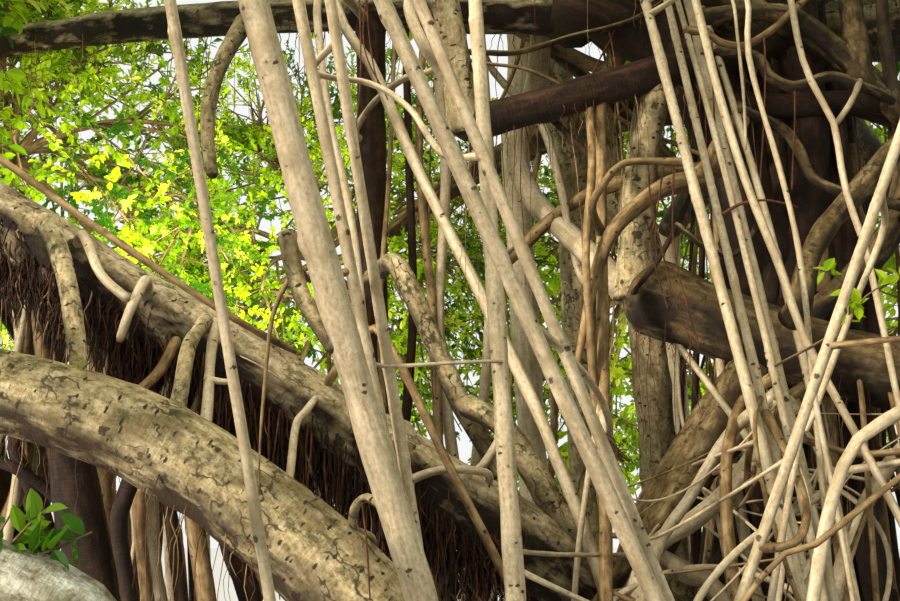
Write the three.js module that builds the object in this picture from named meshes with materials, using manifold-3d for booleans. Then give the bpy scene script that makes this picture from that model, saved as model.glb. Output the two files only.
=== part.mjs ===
// A spreading banyan tree on its prop roots, as a scene graph of named solids.
//
// The origin is the middle of the trunk's flat cut at ground level. +Z is up, +Y leads away from the
// side that the tree is seen from, and +X is to the right of that view.
// The sizes below are in metres, and the geometry is made in millimetres.

import * as THREE from "three";
import { mergeVertices } from "three/addons/utils/BufferGeometryUtils.js";
import Module from "manifold-3d";

const wasm = await Module();
wasm.setup();

const METRE = 1000;
const MERGE_DISTANCE = 1e-3; // millimetres within which two corners are one
const CLEARANCE = 0.0004; // between solids that meet
const TILE = 60; // side of the block below the ground that cuts every foot flat

// Trunk
const TRUNK_HEIGHT = 5.7;
const TRUNK_LEAN = [0.05, 0.15]; // of its tip, along X and Y
const TRUNK_BOW = [0.04, 0, 0]; // of its middle, off the straight line
const TRUNK_RADII = [0.6, 0.4]; // above the flare and at the tip
const FLARE_REACH = 0.45; // how far the root flare stands out at the ground
const FLARE_HEIGHT = 0.5; // height in which the flare falls to about a third
const FLARE_LOBES = 6;
const FLARE_LOBE_DEPTH = 0.22; // as a share of the radius, at the ground
const FLUTES = 4; // fused stems that show up the trunk
const FLUTE_DEPTH = 0.08;
const TRUNK_SIDES = 24;
const TRUNK_STEPS = 10;

// Limbs
const LIMB_SIDES = 8;
const LIMB_STEPS = 6;
const PLAIN_SIDES = 6; // of the limbs that the crown hides
const PLAIN_STEPS = 4;
const STEEP = 0.9; // rise of a limb, as a share of its length, from which it counts as upright
const SAMPLES = 40; // points on a limb that leaves keep off
const COLLAR_SWELL = 0.3; // how much thicker a limb is where it leaves its parent
const FOOT_SWELL = 0.6; // how much thicker a pillar is at the ground
const FOOT_REACH = 0.3; // height of that swelling
const STRAND_SIDES = 6;
const STRAND_STEPS = 4;
const FOOT_DEPTH = 0.2; // how far a pillar is drawn on below the ground before it is cut

// Crown. It is lifted on its front side, which is open below.
const FRONT_ANGLE = 255;
const RIM_MASSES = 12;
const RIM_REACH = 7.9;
const RIM_HEIGHTS = [4.5, 6.6]; // of a mass's middle, at the back and at the front
const RIM_SIZE = 3.2; // half the width of a mass
const RIM_DROPS = [3.2, 2.4]; // half its height, at the back and at the front
const SHOULDER_MASSES = 5;
const SHOULDER_ANGLE = 210;
const SHOULDER_REACH = 4.2;
const SHOULDER_HEIGHT = 8.4;
const SHOULDER_SIZE = 3.6;
const SHOULDER_DROP = 2.4;
const TOP_HEIGHT = 10.3;
const TOP_SIZE = 3.6;
const TOP_DROP = 2.3;
const TIP_SHARE = 0.6; // how far out of a mass's middle its bough ends

// Foliage. One blade stands for a leafy spray.
const CORE_SHARE = 0.66; // the dense core, as a share of the mass
const CORE_LUMPS = 7;
const CORE_ROUGHNESS = 0.5;
const CORE_LEVEL = 0.75; // how far up a lump the core has its plain size
const CORE_PRESS = 0.96; // share by which it draws back from a neighbour at each try
const TWIG_EVERY = 3; // one leaf in so many sits on a twig
const TWIG_REACH = 0.76; // how far out a twig ends, as a share of the mass
const TWIG_SHORTENING = 0.05; // at each try, where its end would not be free
const TWIG_RADII = [0.07, 0.04];
const TWIG_SIDES = 3;
const STEM_RADII = [0.09, 0.06];
const STEM_SIDES = 5;
const STEM_STEPS = 2;
const STEM_RUN = 0.4; // share of its way that the stem keeps its bough's direction
const LEAVES = 17;
const CORE_SINK = 0.84; // where the root of a leaf on the core lies, as a share of the core
const LEAF_LENGTH = 1.15;
const LEAF_WIDTH = 0.85;
const LEAF_WAIST = 0.42; // where a leaf is widest, as a share of its length
const LEAF_THICKNESS = 0.05;
const LEAF_SINK = 0.1; // how deep the root of a leaf on a twig sits
const LEAF_OUTWARD = 0.7; // how much more a leaf points out of the mass than any other way
const LEAF_STEEPNESS = 0.2; // least share of its length by which it stands off the mass
const LEAF_LEVEL = 0.8; // how much more its face looks up than out
const LEAF_DROOP = 0.4;
const LEAF_TRIES = 14; // ways that a leaf may turn before it is left out
const LEAF_SPACING = 0.6; // between the waists of two leaves
const TERRITORY_GAP = 0.03; // kept to the neighbouring masses, as a share of a mass's size
const LIMB_GAP = 0.05; // kept between leaves and the limbs that they pass

const MATERIALS = {
  trunk: new THREE.MeshStandardMaterial({ color: 0x6b4a33, roughness: 0.9, metalness: 0 }),
  bough: new THREE.MeshStandardMaterial({ color: 0xb9aa8c, roughness: 0.85, metalness: 0 }),
  pillar: new THREE.MeshStandardMaterial({ color: 0xcfc3a8, roughness: 0.75, metalness: 0 }),
  foliage: new THREE.MeshStandardMaterial({ color: 0x5f8f22, roughness: 0.6, metalness: 0 }),
};

const vector = ([x, y, z]) => new THREE.Vector3(x, y, z);
const mix = (a, b, share) => a + (b - a) * share;

// How much a place at this angle round the trunk belongs to the front, from 0 to 1.
const frontness = (angle) => (1 + Math.cos(THREE.MathUtils.degToRad(angle - FRONT_ANGLE))) / 2;

// A mass's middle, half sizes and name, from where it stands round the trunk.
function massAt(name, angle, reach, height, size, drop) {
  const turn = THREE.MathUtils.degToRad(angle);
  const middle = new THREE.Vector3(reach * Math.cos(turn), reach * Math.sin(turn), height);
  return { name, middle, size: new THREE.Vector3(size, size, drop) };
}

function crownMasses() {
  const masses = [massAt("foliage_top", 0, 0, TOP_HEIGHT, TOP_SIZE, TOP_DROP)];
  for (let n = 0; n < SHOULDER_MASSES; n++) {
    const angle = SHOULDER_ANGLE + (360 / SHOULDER_MASSES) * n;
    masses.push(
      massAt(`foliage_shoulder_${n}`, angle, SHOULDER_REACH, SHOULDER_HEIGHT, SHOULDER_SIZE, SHOULDER_DROP),
    );
  }
  for (let n = 0; n < RIM_MASSES; n++) {
    const angle = (360 / RIM_MASSES) * n;
    const front = frontness(angle);
    masses.push(
      massAt(
        `foliage_rim_${n}`,
        angle,
        RIM_REACH,
        mix(...RIM_HEIGHTS, front),
        RIM_SIZE,
        mix(...RIM_DROPS, front),
      ),
    );
  }
  return masses;
}

const MASSES = crownMasses();

// Where a bough that carries a mass ends: on the side of the mass that faces from.
function tipIn(name, from) {
  const { middle, size } = MASSES.find((mass) => mass.name === name);
  const inward = vector(from).sub(middle);
  const scaled = inward.clone().divide(size).length();
  return middle.clone().addScaledVector(inward, TIP_SHARE / scaled).toArray();
}

// A limb is one curve from start to end, whose middle stands off the straight line by bow.
// radii are at its start and its end, and carries names the mass that it ends in.
const BOUGHS = [
  {
    name: "low_west_stem",
    start: [-1.72, -2.25, -0.3],
    end: [-4.75, -2.1, 2.27],
    bow: [0.16, -0.03, 0.52],
    radii: [0.28, 0.205],
  },
  {
    name: "low_west_stem_reach",
    start: [-4.62, -2.1, 2.24],
    bow: [-0.35, 0.1, -0.35],
    radii: [0.17, 0.11],
    carries: "foliage_rim_7",
  },
  {
    name: "west_bough",
    start: [-0.1, -0.2, 0.38],
    end: [-6.6, -0.85, 4.35],
    bow: [0, -0.65, 0],
    radii: [0.24, 0.19],
    carries: "foliage_rim_6",
  },
  {
    name: "north_west_bough",
    start: [-0.1, 0.1, 5.1],
    end: [-6.4, 1.9, 5.7],
    bow: [0.05, -0.7, -0.08],
    radii: [0.15, 0.12],
    carries: "foliage_rim_5",
  },
  {
    name: "front_west_bough",
    start: [-0.05, -0.1, 4.9],
    end: [-4.35, -5, 6.25],
    bow: [-0.35, 0.2, 0.25],
    radii: [0.2, 0.1],
    carries: "foliage_rim_8",
  },
  {
    name: "front_bough",
    start: [0.05, -0.1, 5.2],
    bow: [0.8, 0.1, 0.35],
    radii: [0.18, 0.1],
    carries: "foliage_rim_9",
  },
  {
    name: "front_east_bough",
    start: [0.1, -0.1, 5.4],
    bow: [0.5, 0, 0.3],
    radii: [0.16, 0.09],
    carries: "foliage_rim_10",
    hidden: true,
  },
  {
    name: "east_bough",
    start: [0.05, 0, 5],
    bow: [0, -0.3, 0.25],
    radii: [0.17, 0.1],
    carries: "foliage_rim_0",
  },
  {
    name: "low_east_bough",
    start: [-1.18, -0.62, 3.08],
    end: [2.5, -1.35, 2.2],
    bow: [-0.1, -0.05, -0.22],
    radii: [0.2, 0.25],
  },
  {
    name: "low_east_bough_reach",
    start: [2.4, -1.32, 2.2],
    bow: [0.3, -0.1, -0.4],
    radii: [0.21, 0.11],
    carries: "foliage_rim_11",
  },
  {
    name: "hoop_bough",
    start: [-0.15, -0.45, 4.95],
    end: [-0.05, -0.75, 2.85],
    bow: [0.8, -0.05, 0.1],
    radii: [0.075, 0.09],
  },
  {
    name: "north_east_bough",
    start: [0.1, 0.1, 5],
    bow: [0, 0, 0.45],
    radii: [0.18, 0.1],
    carries: "foliage_rim_1",
    hidden: true,
  },
  {
    name: "back_east_bough",
    start: [0.05, 0.1, 4.7],
    bow: [0, 0, 0.4],
    radii: [0.17, 0.1],
    carries: "foliage_rim_2",
    hidden: true,
  },
  {
    name: "back_bough",
    start: [0, 0.1, 4.2],
    bow: [0, 0, 0.3],
    radii: [0.18, 0.1],
    carries: "foliage_rim_3",
    hidden: true,
  },
  {
    name: "back_west_bough",
    start: [-0.05, 0.1, 4.6],
    bow: [0, 0.1, 0.4],
    radii: [0.17, 0.1],
    carries: "foliage_rim_4",
    hidden: true,
  },
  {
    name: "crown_leader",
    start: [0.03, 0.1, 5.3],
    bow: [0.1, 0, 0],
    radii: [0.22, 0.12],
    carries: "foliage_top",
    hidden: true,
  },
  {
    name: "elbow_bough",
    start: [0.1, -0.25, 4.95],
    end: [-2.3, -1.2, 3.95],
    bow: [0, -0.1, -0.05],
    radii: [0.13, 0.1],
  },
  {
    name: "elbow_bough_riser",
    start: [-2.22, -1.17, 3.93],
    bow: [0.15, 0, 0.1],
    radii: [0.09, 0.06],
    carries: "foliage_shoulder_0",
  },
  {
    name: "link_stem",
    start: [-1.1, -0.62, 3],
    end: [-0.95, -0.77, 4.48],
    bow: [-0.06, 0, 0],
    radii: [0.12, 0.1],
  },
  {
    name: "shoulder_bough_front",
    start: [0.05, 0, 5.5],
    bow: [0, 0, 0.2],
    radii: [0.15, 0.08],
    carries: "foliage_shoulder_1",
    hidden: true,
  },
  {
    name: "shoulder_bough_east",
    start: [0.1, 0.1, 5.5],
    bow: [0, 0, 0.2],
    radii: [0.15, 0.08],
    carries: "foliage_shoulder_2",
    hidden: true,
  },
  {
    name: "shoulder_bough_back",
    start: [0.05, 0.2, 5.5],
    bow: [0, 0, 0.2],
    radii: [0.15, 0.08],
    carries: "foliage_shoulder_3",
    hidden: true,
  },
  {
    name: "shoulder_bough_west",
    start: [-0.05, 0.15, 5.5],
    bow: [0, 0, 0.2],
    radii: [0.15, 0.08],
    carries: "foliage_shoulder_4",
    hidden: true,
  },
];

// A pillar is one or more prop roots that run together towards one foot on the ground. Each strand hangs
// from the middle of the pillar's bough, at a share of the bough's length. Its radii are at its top and at
// its foot, and it may be bowed as a bough is.
const PILLARS = [
  {
    name: "great_pillar",
    bough: "front_west_bough",
    foot: [-2, -2.8],
    strands: [{ at: 0.79, bow: [-0.12, 0, 0], radii: [0.06, 0.075] }],
  },
  {
    name: "slanting_pillar",
    bough: "front_west_bough",
    foot: [-0.82, -2.62],
    strands: [
      { at: 0.79, radii: [0.034, 0.04] },
      { at: 0.69, radii: [0.028, 0.03] },
    ],
  },
  {
    name: "upright_pillar",
    bough: "front_west_bough",
    foot: [-1.93, -2.55],
    strands: [{ at: 0.432, radii: [0.03, 0.055] }],
  },
  {
    name: "slender_pillar",
    bough: "front_west_bough",
    foot: [-2.84, -2.95],
    strands: [{ at: 0.846, radii: [0.024, 0.024] }],
  },
  {
    name: "twin_pillars",
    bough: "front_west_bough",
    foot: [-2.22, -2.38],
    strands: [
      { at: 0.72, radii: [0.028, 0.028] },
      { at: 0.66, radii: [0.025, 0.03] },
    ],
  },
  {
    name: "bundled_pillars",
    bough: "front_west_bough",
    foot: [-0.36, -2.4],
    strands: [
      { at: 0.207, radii: [0.03, 0.032] },
      { at: 0.165, radii: [0.022, 0.03] },
      { at: 0.15, bow: [0.06, -0.05, 0], radii: [0.018, 0.025] },
    ],
  },
  {
    name: "crossed_pillars",
    bough: "front_west_bough",
    foot: [-0.22, -2.3],
    strands: [
      { at: 0.127, radii: [0.03, 0.035] },
      { at: 0.11, bow: [0.12, -0.03, 0], radii: [0.022, 0.026] },
    ],
  },
  {
    name: "counter_pillar",
    bough: "front_bough",
    foot: [-1.4, -2.35],
    strands: [{ at: 0.5, radii: [0.025, 0.028] }],
  },
  {
    name: "banded_pillar",
    bough: "elbow_bough",
    foot: [-1.48, -1.6],
    strands: [{ at: 0.608, radii: [0.035, 0.04] }],
  },
  {
    name: "shaded_pillar",
    bough: "north_west_bough",
    foot: [-2.8, 0.2],
    strands: [{ at: 0.452, radii: [0.1, 0.12] }],
  },
  {
    name: "shaggy_pillar",
    bough: "west_bough",
    foot: [-4.3, -0.9],
    strands: [
      { at: 0.66, radii: [0.06, 0.12] },
      { at: 0.73, radii: [0.04, 0.09] },
    ],
  },
  {
    name: "under_stem_pillar",
    bough: "low_west_stem",
    foot: [-3.3, -2.05],
    strands: [{ at: 0.68, radii: [0.045, 0.06] }],
  },
  {
    name: "slab_prop",
    bough: "low_east_bough",
    foot: [-2, -1.1],
    strands: [
      { at: 0.246, radii: [0.12, 0.15] },
      { at: 0.38, bow: [-0.1, 0, 0.35], radii: [0.05, 0.08] },
    ],
  },
  {
    name: "bent_prop",
    bough: "low_east_bough",
    foot: [-0.3, -1.5],
    strands: [{ at: 0.6, bow: [-0.28, 0, 0.5], radii: [0.04, 0.05] }],
  },
  {
    name: "east_pillar",
    bough: "low_east_bough",
    foot: [2.9, -1.5],
    strands: [
      { at: 0.95, radii: [0.12, 0.2] },
      { at: 0.82, bow: [-0.1, 0, 0], radii: [0.06, 0.08] },
    ],
  },
  {
    name: "far_east_pillar",
    bough: "east_bough",
    foot: [4.6, 0.1],
    strands: [{ at: 0.8, radii: [0.08, 0.13] }],
  },
  {
    name: "north_east_pillar",
    bough: "north_east_bough",
    foot: [3.9, 2.6],
    strands: [{ at: 0.72, radii: [0.09, 0.15] }],
  },
  {
    name: "back_pillar",
    bough: "back_bough",
    foot: [0.1, 4.5],
    strands: [{ at: 0.72, radii: [0.09, 0.15] }],
  },
];

// A curve in metres through start and end, whose middle stands off the chord by bow.
function arc(start, end, bow = [0, 0, 0]) {
  const [from, to] = [vector(start), vector(end)];
  const control = from.clone().add(to).multiplyScalar(0.5).addScaledVector(vector(bow), 2);
  return new THREE.QuadraticBezierCurve3(from, control, to);
}

// A closed tube along a curve. radiusAt gives its radius from the share of the length and the angle,
// and the whole tube is extra wider on every side and at both ends.
function tube(curve, radiusAt, sides, steps, extra = 0) {
  const geometry = new THREE.CylinderGeometry(1, 1, 1, sides, steps);
  const place = geometry.getAttribute("position");
  const chord = curve.getPoint(1).sub(curve.getPoint(0)).normalize();
  const aside = Math.abs(chord.z) > STEEP ? new THREE.Vector3(1, 0, 0) : new THREE.Vector3(0, 0, 1);
  for (let n = 0; n < place.count; n++) {
    const share = place.getY(n) + 0.5;
    const ahead = curve.getTangent(share);
    const right = new THREE.Vector3().crossVectors(aside, ahead).normalize();
    const out = new THREE.Vector3().crossVectors(right, ahead);
    const radius = radiusAt(share, Math.atan2(place.getZ(n), place.getX(n))) + extra;
    const past = share < 1e-6 ? -extra : share > 1 - 1e-6 ? extra : 0;
    const point = curve.getPoint(share).addScaledVector(ahead, past);
    point.addScaledVector(right, place.getX(n) * radius).addScaledVector(out, place.getZ(n) * radius);
    place.setXYZ(n, ...point.toArray());
  }
  return geometry;
}

// A manifold-3d solid, in millimetres, of a closed geometry in metres.
function solidOf(geometry) {
  const bare = geometry.clone().scale(METRE, METRE, METRE);
  bare.deleteAttribute("normal");
  bare.deleteAttribute("uv");
  const merged = mergeVertices(bare, MERGE_DISTANCE);
  const vertProperties = merged.getAttribute("position").array;
  const triVerts = new Uint32Array(merged.index.array);
  return new wasm.Manifold(new wasm.Mesh({ numProp: 3, vertProperties, triVerts }));
}

// The largest of a solid's bodies: cuts leave loose scraps, which are dropped.
function largestBody(solid) {
  return solid.decompose().reduce((best, body) => (body.volume() > best.volume() ? body : best));
}

const belowGround = solidOf(new THREE.BoxGeometry(TILE, TILE, TILE).translate(0, 0, -TILE / 2));

const boxesMeet = (a, b) => {
  const [one, other] = [a.boundingBox(), b.boundingBox()];
  return [0, 1, 2].every((k) => one.min[k] < other.max[k] && other.min[k] < one.max[k]);
};

// The trunk: a flared foot with lobes, then a column of fused stems that tapers to its tip.
function trunkSolid(extra) {
  const curve = arc([0, 0, 0], [...TRUNK_LEAN, TRUNK_HEIGHT], TRUNK_BOW);
  // The steps crowd towards the foot, where the flare curves most.
  const crowded = new THREE.Curve();
  crowded.getPoint = (share) => curve.getPoint(share ** 2);
  crowded.getTangent = (share) => curve.getTangent(share ** 2);
  const radiusAt = (share, angle) => {
    const height = TRUNK_HEIGHT * share ** 2;
    const foot = Math.exp(-height / FLARE_HEIGHT);
    const lobes = 1 + FLARE_LOBE_DEPTH * foot * Math.cos(FLARE_LOBES * angle);
    const flutes = 1 + FLUTE_DEPTH * Math.cos(FLUTES * angle + height);
    return (mix(...TRUNK_RADII, share ** 2) + FLARE_REACH * foot) * lobes * flutes;
  };
  return solidOf(tube(crowded, radiusAt, TRUNK_SIDES, TRUNK_STEPS, extra)).subtract(belowGround);
}

// A bough's curve ends where it says, or inside the mass that it carries.
function boughCurve({ start, end, bow, carries }) {
  return arc(start, end ?? tipIn(carries, start), bow);
}

function boughSolid(bough, extra) {
  const curve = boughCurve(bough);
  const length = curve.getLength();
  const radiusAt = (share) =>
    mix(...bough.radii, share) * (1 + COLLAR_SWELL * Math.exp((-share * length) / (2 * bough.radii[0])));
  const [sides, steps] = bough.hidden ? [PLAIN_SIDES, PLAIN_STEPS] : [LIMB_SIDES, LIMB_STEPS];
  return solidOf(tube(curve, radiusAt, sides, steps, extra)).subtract(belowGround);
}

// A strand's curve runs from the middle of its pillar's bough to the foot, and on below the ground.
function strandCurve({ bough, foot }, { at, bow }) {
  const top = boughCurve(BOUGHS.find(({ name }) => name === bough)).getPoint(at);
  const ground = vector([...foot, 0]);
  const down = ground.clone().sub(top).normalize();
  return arc(top.toArray(), ground.addScaledVector(down, FOOT_DEPTH).toArray(), bow);
}

function strandSolid(pillar, strand, extra) {
  const curve = strandCurve(pillar, strand);
  const length = curve.getLength();
  const radiusAt = (share) => {
    const toEnd = (1 - share) * length;
    return mix(...strand.radii, share) * (1 + FOOT_SWELL * Math.exp(-toEnd / FOOT_REACH));
  };
  return solidOf(tube(curve, radiusAt, STRAND_SIDES, STRAND_STEPS, extra));
}

function pillarSolid(pillar, extra) {
  return pillar.strands
    .map((strand) => strandSolid(pillar, strand, extra))
    .reduce((all, strand) => all.add(strand))
    .subtract(belowGround);
}

// The same numbers on every run, from 0 to 1.
function seeded(seed) {
  let state = seed;
  return () => {
    state = (Math.imul(state, 1664525) + 1013904223) >>> 0;
    return state / 2 ** 32;
  };
}

// How far out a point lies in a mass: 0 at its middle and 1 at its edge.
const outness = (mass, point) => point.clone().sub(mass.middle).divide(mass.size).length();

// The place that lies out in a mass in a direction, at a share of the mass's reach there.
function placeIn(mass, way, share) {
  return way.clone().multiply(mass.size).multiplyScalar(share).add(mass.middle);
}

// Whether a point is inside a mass and clear of its neighbours' space.
function inTerritory(mass, point) {
  const own = outness(mass, point);
  return (
    own <= 1 &&
    point.z > 0 &&
    MASSES.every((other) => other === mass || own + TERRITORY_GAP < outness(other, point))
  );
}

// A direction drawn from every side alike.
function anyWay(random) {
  const z = 2 * random() - 1;
  const angle = 2 * Math.PI * random();
  const flat = Math.sqrt(1 - z * z);
  return new THREE.Vector3(flat * Math.cos(angle), flat * Math.sin(angle), z);
}

// A direction over a ball for each of count things, spread evenly by the golden angle.
function spread(n, count, turn) {
  const z = 1 - (2 * n + 1) / count;
  const flat = Math.sqrt(1 - z * z);
  const angle = n * Math.PI * (3 - Math.sqrt(5)) + turn;
  return new THREE.Vector3(flat * Math.cos(angle), flat * Math.sin(angle), z);
}

// How far out a lumpy core's surface lies in a direction, as a share of its mass.
function coreReach(lumps, way) {
  const lump = Math.max(...lumps.map((towards) => towards.dot(way)));
  return CORE_SHARE * (1 + CORE_ROUGHNESS * (lump - CORE_LEVEL));
}

// A mass's dense middle: a lumpy ball, pressed flat where a neighbouring mass is near.
function core(mass, lumps) {
  const geometry = new THREE.IcosahedronGeometry(1, 1);
  const place = geometry.getAttribute("position");
  for (let n = 0; n < place.count; n++) {
    const way = new THREE.Vector3().fromBufferAttribute(place, n);
    let reach = coreReach(lumps, way);
    while (!inTerritory(mass, placeIn(mass, way, reach))) reach *= CORE_PRESS;
    place.setXYZ(n, ...placeIn(mass, way, reach).toArray());
  }
  return geometry;
}

// The five corners that a leaf's outline turns at: its root, its tip, its waist and the waist's two sides.
function leafCorners({ root, ahead, side }) {
  const waist = root.clone().addScaledVector(ahead, LEAF_WAIST * LEAF_LENGTH);
  return [
    root,
    root.clone().addScaledVector(ahead, LEAF_LENGTH),
    waist,
    waist.clone().addScaledVector(side, LEAF_WIDTH / 2),
    waist.clone().addScaledVector(side, -LEAF_WIDTH / 2),
  ];
}

// A leaf of eight faces: a flattened octahedron that is widest at its waist.
function leaf({ root, ahead, side }) {
  const geometry = new THREE.OctahedronGeometry(1);
  const place = geometry.getAttribute("position");
  for (let n = 0; n < place.count; n++) {
    const x = place.getX(n);
    place.setX(n, Math.abs(x) < 0.5 ? LEAF_WAIST : (x + 1) / 2);
  }
  geometry.scale(LEAF_LENGTH, LEAF_THICKNESS / 2, LEAF_WIDTH / 2);
  const above = new THREE.Vector3().crossVectors(side, ahead);
  return geometry.applyMatrix4(new THREE.Matrix4().makeBasis(ahead, above, side).setPosition(root));
}

// Points along every limb with the limb's radius there, for keeping leaves off.
function limbPoints() {
  const points = [];
  const along = (curve, radii) => {
    for (let n = 0; n <= SAMPLES; n++) {
      points.push({ at: curve.getPoint(n / SAMPLES), radius: mix(...radii, n / SAMPLES) });
    }
  };
  BOUGHS.forEach((bough) => along(boughCurve(bough), bough.radii));
  PILLARS.forEach((pillar) =>
    pillar.strands.forEach((strand) => along(strandCurve(pillar, strand), strand.radii)),
  );
  return points;
}

// The first turn of a leaf, of those tried, for which it is clear of all else.
function turnedLeaf(at, sink, outward, random, clear) {
  for (let n = 0; n < LEAF_TRIES; n++) {
    const ahead = anyWay(random).addScaledVector(outward, LEAF_OUTWARD);
    ahead.z -= LEAF_DROOP * random();
    ahead.normalize();
    const root = at.clone().addScaledVector(ahead, -sink);
    const side = new THREE.Vector3(0, 0, LEAF_LEVEL).add(outward).cross(ahead).normalize();
    const found = { root, ahead, side };
    if (ahead.dot(outward) > LEAF_STEEPNESS && clear(leafCorners(found))) return found;
  }
  return null;
}

// A mass of foliage: a stem from its bough's tip, a core, and leaves on twigs and on the core.
function foliageSolid(mass, seed, limbs) {
  const random = seeded(seed);
  const curve = boughCurve(BOUGHS.find(({ carries }) => carries === mass.name));
  const ahead = curve.getTangent(1);
  const root = curve.getPoint(1).addScaledVector(ahead, CLEARANCE);
  const knee = root.clone().addScaledVector(ahead, STEM_RUN * root.distanceTo(mass.middle));
  const stem = new THREE.QuadraticBezierCurve3(root, knee, mass.middle);
  const lumps = Array.from({ length: CORE_LUMPS }, () => anyWay(random));
  const stemAt = (share) => mix(...STEM_RADII, share);
  const pieces = [tube(stem, stemAt, STEM_SIDES, STEM_STEPS), core(mass, lumps)];
  const waists = [];
  const free = (point) =>
    inTerritory(mass, point) && limbs.every(({ at, radius }) => at.distanceTo(point) > radius + LIMB_GAP);
  const clear = (corners) =>
    corners.every(free) && waists.every((waist) => waist.distanceTo(corners[2]) > LEAF_SPACING);
  const turn = random() * 2 * Math.PI;
  for (let n = 0; n < LEAVES; n++) {
    const way = spread(n, LEAVES, turn);
    const outward = way.clone().multiply(mass.size).normalize();
    const onTwig = n % TWIG_EVERY === 1;
    let reach = onTwig ? TWIG_REACH : CORE_SINK * coreReach(lumps, way);
    while (onTwig && reach > CORE_SHARE && !free(placeIn(mass, way, reach))) reach -= TWIG_SHORTENING;
    if (onTwig) {
      const twig = arc(mass.middle.toArray(), placeIn(mass, way, reach).toArray());
      pieces.push(tube(twig, (share) => mix(...TWIG_RADII, share), TWIG_SIDES, 1));
    }
    const found = turnedLeaf(placeIn(mass, way, reach), onTwig ? LEAF_SINK : 0, outward, random, clear);
    if (found) {
      waists.push(leafCorners(found)[2]);
      pieces.push(leaf(found));
    }
  }
  return pieces.map(solidOf).reduce((all, piece) => all.add(piece));
}

const tree = new THREE.Group();

// Adds one finished solid to the tree as a named mesh.
function show(name, solid, material) {
  const { numProp, vertProperties, triVerts } = solid.getMesh();
  const geometry = new THREE.BufferGeometry();
  geometry.setAttribute("position", new THREE.InterleavedBufferAttribute(
    new THREE.InterleavedBuffer(vertProperties, numProp), 3, 0));
  geometry.setIndex(new THREE.BufferAttribute(triVerts, 1));
  const mesh = new THREE.Mesh(geometry, material);
  mesh.name = name;
  tree.add(mesh);
}

// Each limb is let into the ones before it: their room is cut from it, a clearance wider.
function plantTree() {
  const rooms = [];
  const letIn = (name, whole, material) => {
    const met = rooms.filter((room) => boxesMeet(room, whole));
    show(name, largestBody(met.reduce((rest, room) => rest.subtract(room), whole)), material);
  };
  const addLimb = (name, build, material) => {
    letIn(name, build(0), material);
    rooms.push(build(CLEARANCE));
  };
  addLimb("trunk", trunkSolid, MATERIALS.trunk);
  BOUGHS.forEach((bough) => addLimb(bough.name, (extra) => boughSolid(bough, extra), MATERIALS.bough));
  PILLARS.forEach((pillar) => addLimb(pillar.name, (extra) => pillarSolid(pillar, extra), MATERIALS.pillar));
  const limbs = limbPoints();
  MASSES.forEach((mass, n) => letIn(mass.name, foliageSolid(mass, n + 1, limbs), MATERIALS.foliage));
}

plantTree();

export default tree;
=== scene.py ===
import logging
import math
from dataclasses import dataclass
from enum import Enum
from itertools import product
from typing import Callable, Sequence

import bmesh
import bpy
import numpy as np
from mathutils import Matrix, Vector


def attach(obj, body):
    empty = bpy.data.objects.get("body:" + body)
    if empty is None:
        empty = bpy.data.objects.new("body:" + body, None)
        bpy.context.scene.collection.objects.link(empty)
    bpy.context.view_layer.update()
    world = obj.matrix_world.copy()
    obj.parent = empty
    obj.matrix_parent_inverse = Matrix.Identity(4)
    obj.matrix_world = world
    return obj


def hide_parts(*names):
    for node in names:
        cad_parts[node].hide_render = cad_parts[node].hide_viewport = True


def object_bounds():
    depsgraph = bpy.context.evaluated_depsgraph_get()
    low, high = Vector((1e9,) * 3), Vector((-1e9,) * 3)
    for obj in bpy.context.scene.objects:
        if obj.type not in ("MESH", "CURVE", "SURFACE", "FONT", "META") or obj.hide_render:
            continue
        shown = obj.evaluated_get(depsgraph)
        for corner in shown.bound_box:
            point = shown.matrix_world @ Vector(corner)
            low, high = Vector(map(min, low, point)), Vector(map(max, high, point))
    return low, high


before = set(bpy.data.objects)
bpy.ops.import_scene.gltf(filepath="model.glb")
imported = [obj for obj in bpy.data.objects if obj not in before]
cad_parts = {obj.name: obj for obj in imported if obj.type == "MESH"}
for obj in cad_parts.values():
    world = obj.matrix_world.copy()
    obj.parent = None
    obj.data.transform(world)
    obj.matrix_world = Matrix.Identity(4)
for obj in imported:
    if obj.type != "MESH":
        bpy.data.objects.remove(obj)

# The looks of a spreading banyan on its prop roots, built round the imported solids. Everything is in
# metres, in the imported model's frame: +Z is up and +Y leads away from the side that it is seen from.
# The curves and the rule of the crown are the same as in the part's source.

log = logging.getLogger("banyan")

CAD_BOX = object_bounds()

Point = Sequence[float]
Array = np.ndarray
Pair = tuple[float, float]
Triple = tuple[float, float, float]
norm = np.linalg.norm

# The camera that the photograph was taken with, as far as its perspective tells
EYE = (-2.31, -8.5, 1.6)
PITCH = math.radians(10)
FOCAL_PIXELS = 1250.0
PHOTO_WIDTH, PHOTO_HEIGHT = 900, 601
SENSOR_MM = 36.0


def seen(u: float, v: float, y: float) -> Array:
    """The place that the photograph shows at a pixel, at a depth.

    Args:
        u: Pixel column, from the left.
        v: Pixel row, from the top.
        y: The place's Y.
    Returns:
        The place, in metres.
    """
    ahead = np.array([0.0, math.cos(PITCH), math.sin(PITCH)])
    above = np.array([0.0, -math.sin(PITCH), math.cos(PITCH)])
    way = ahead + above * (PHOTO_HEIGHT / 2 - v) / FOCAL_PIXELS
    way[0] = (u - PHOTO_WIDTH / 2) / FOCAL_PIXELS
    return np.array(EYE) + way * (y - EYE[1]) / way[1]


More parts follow.
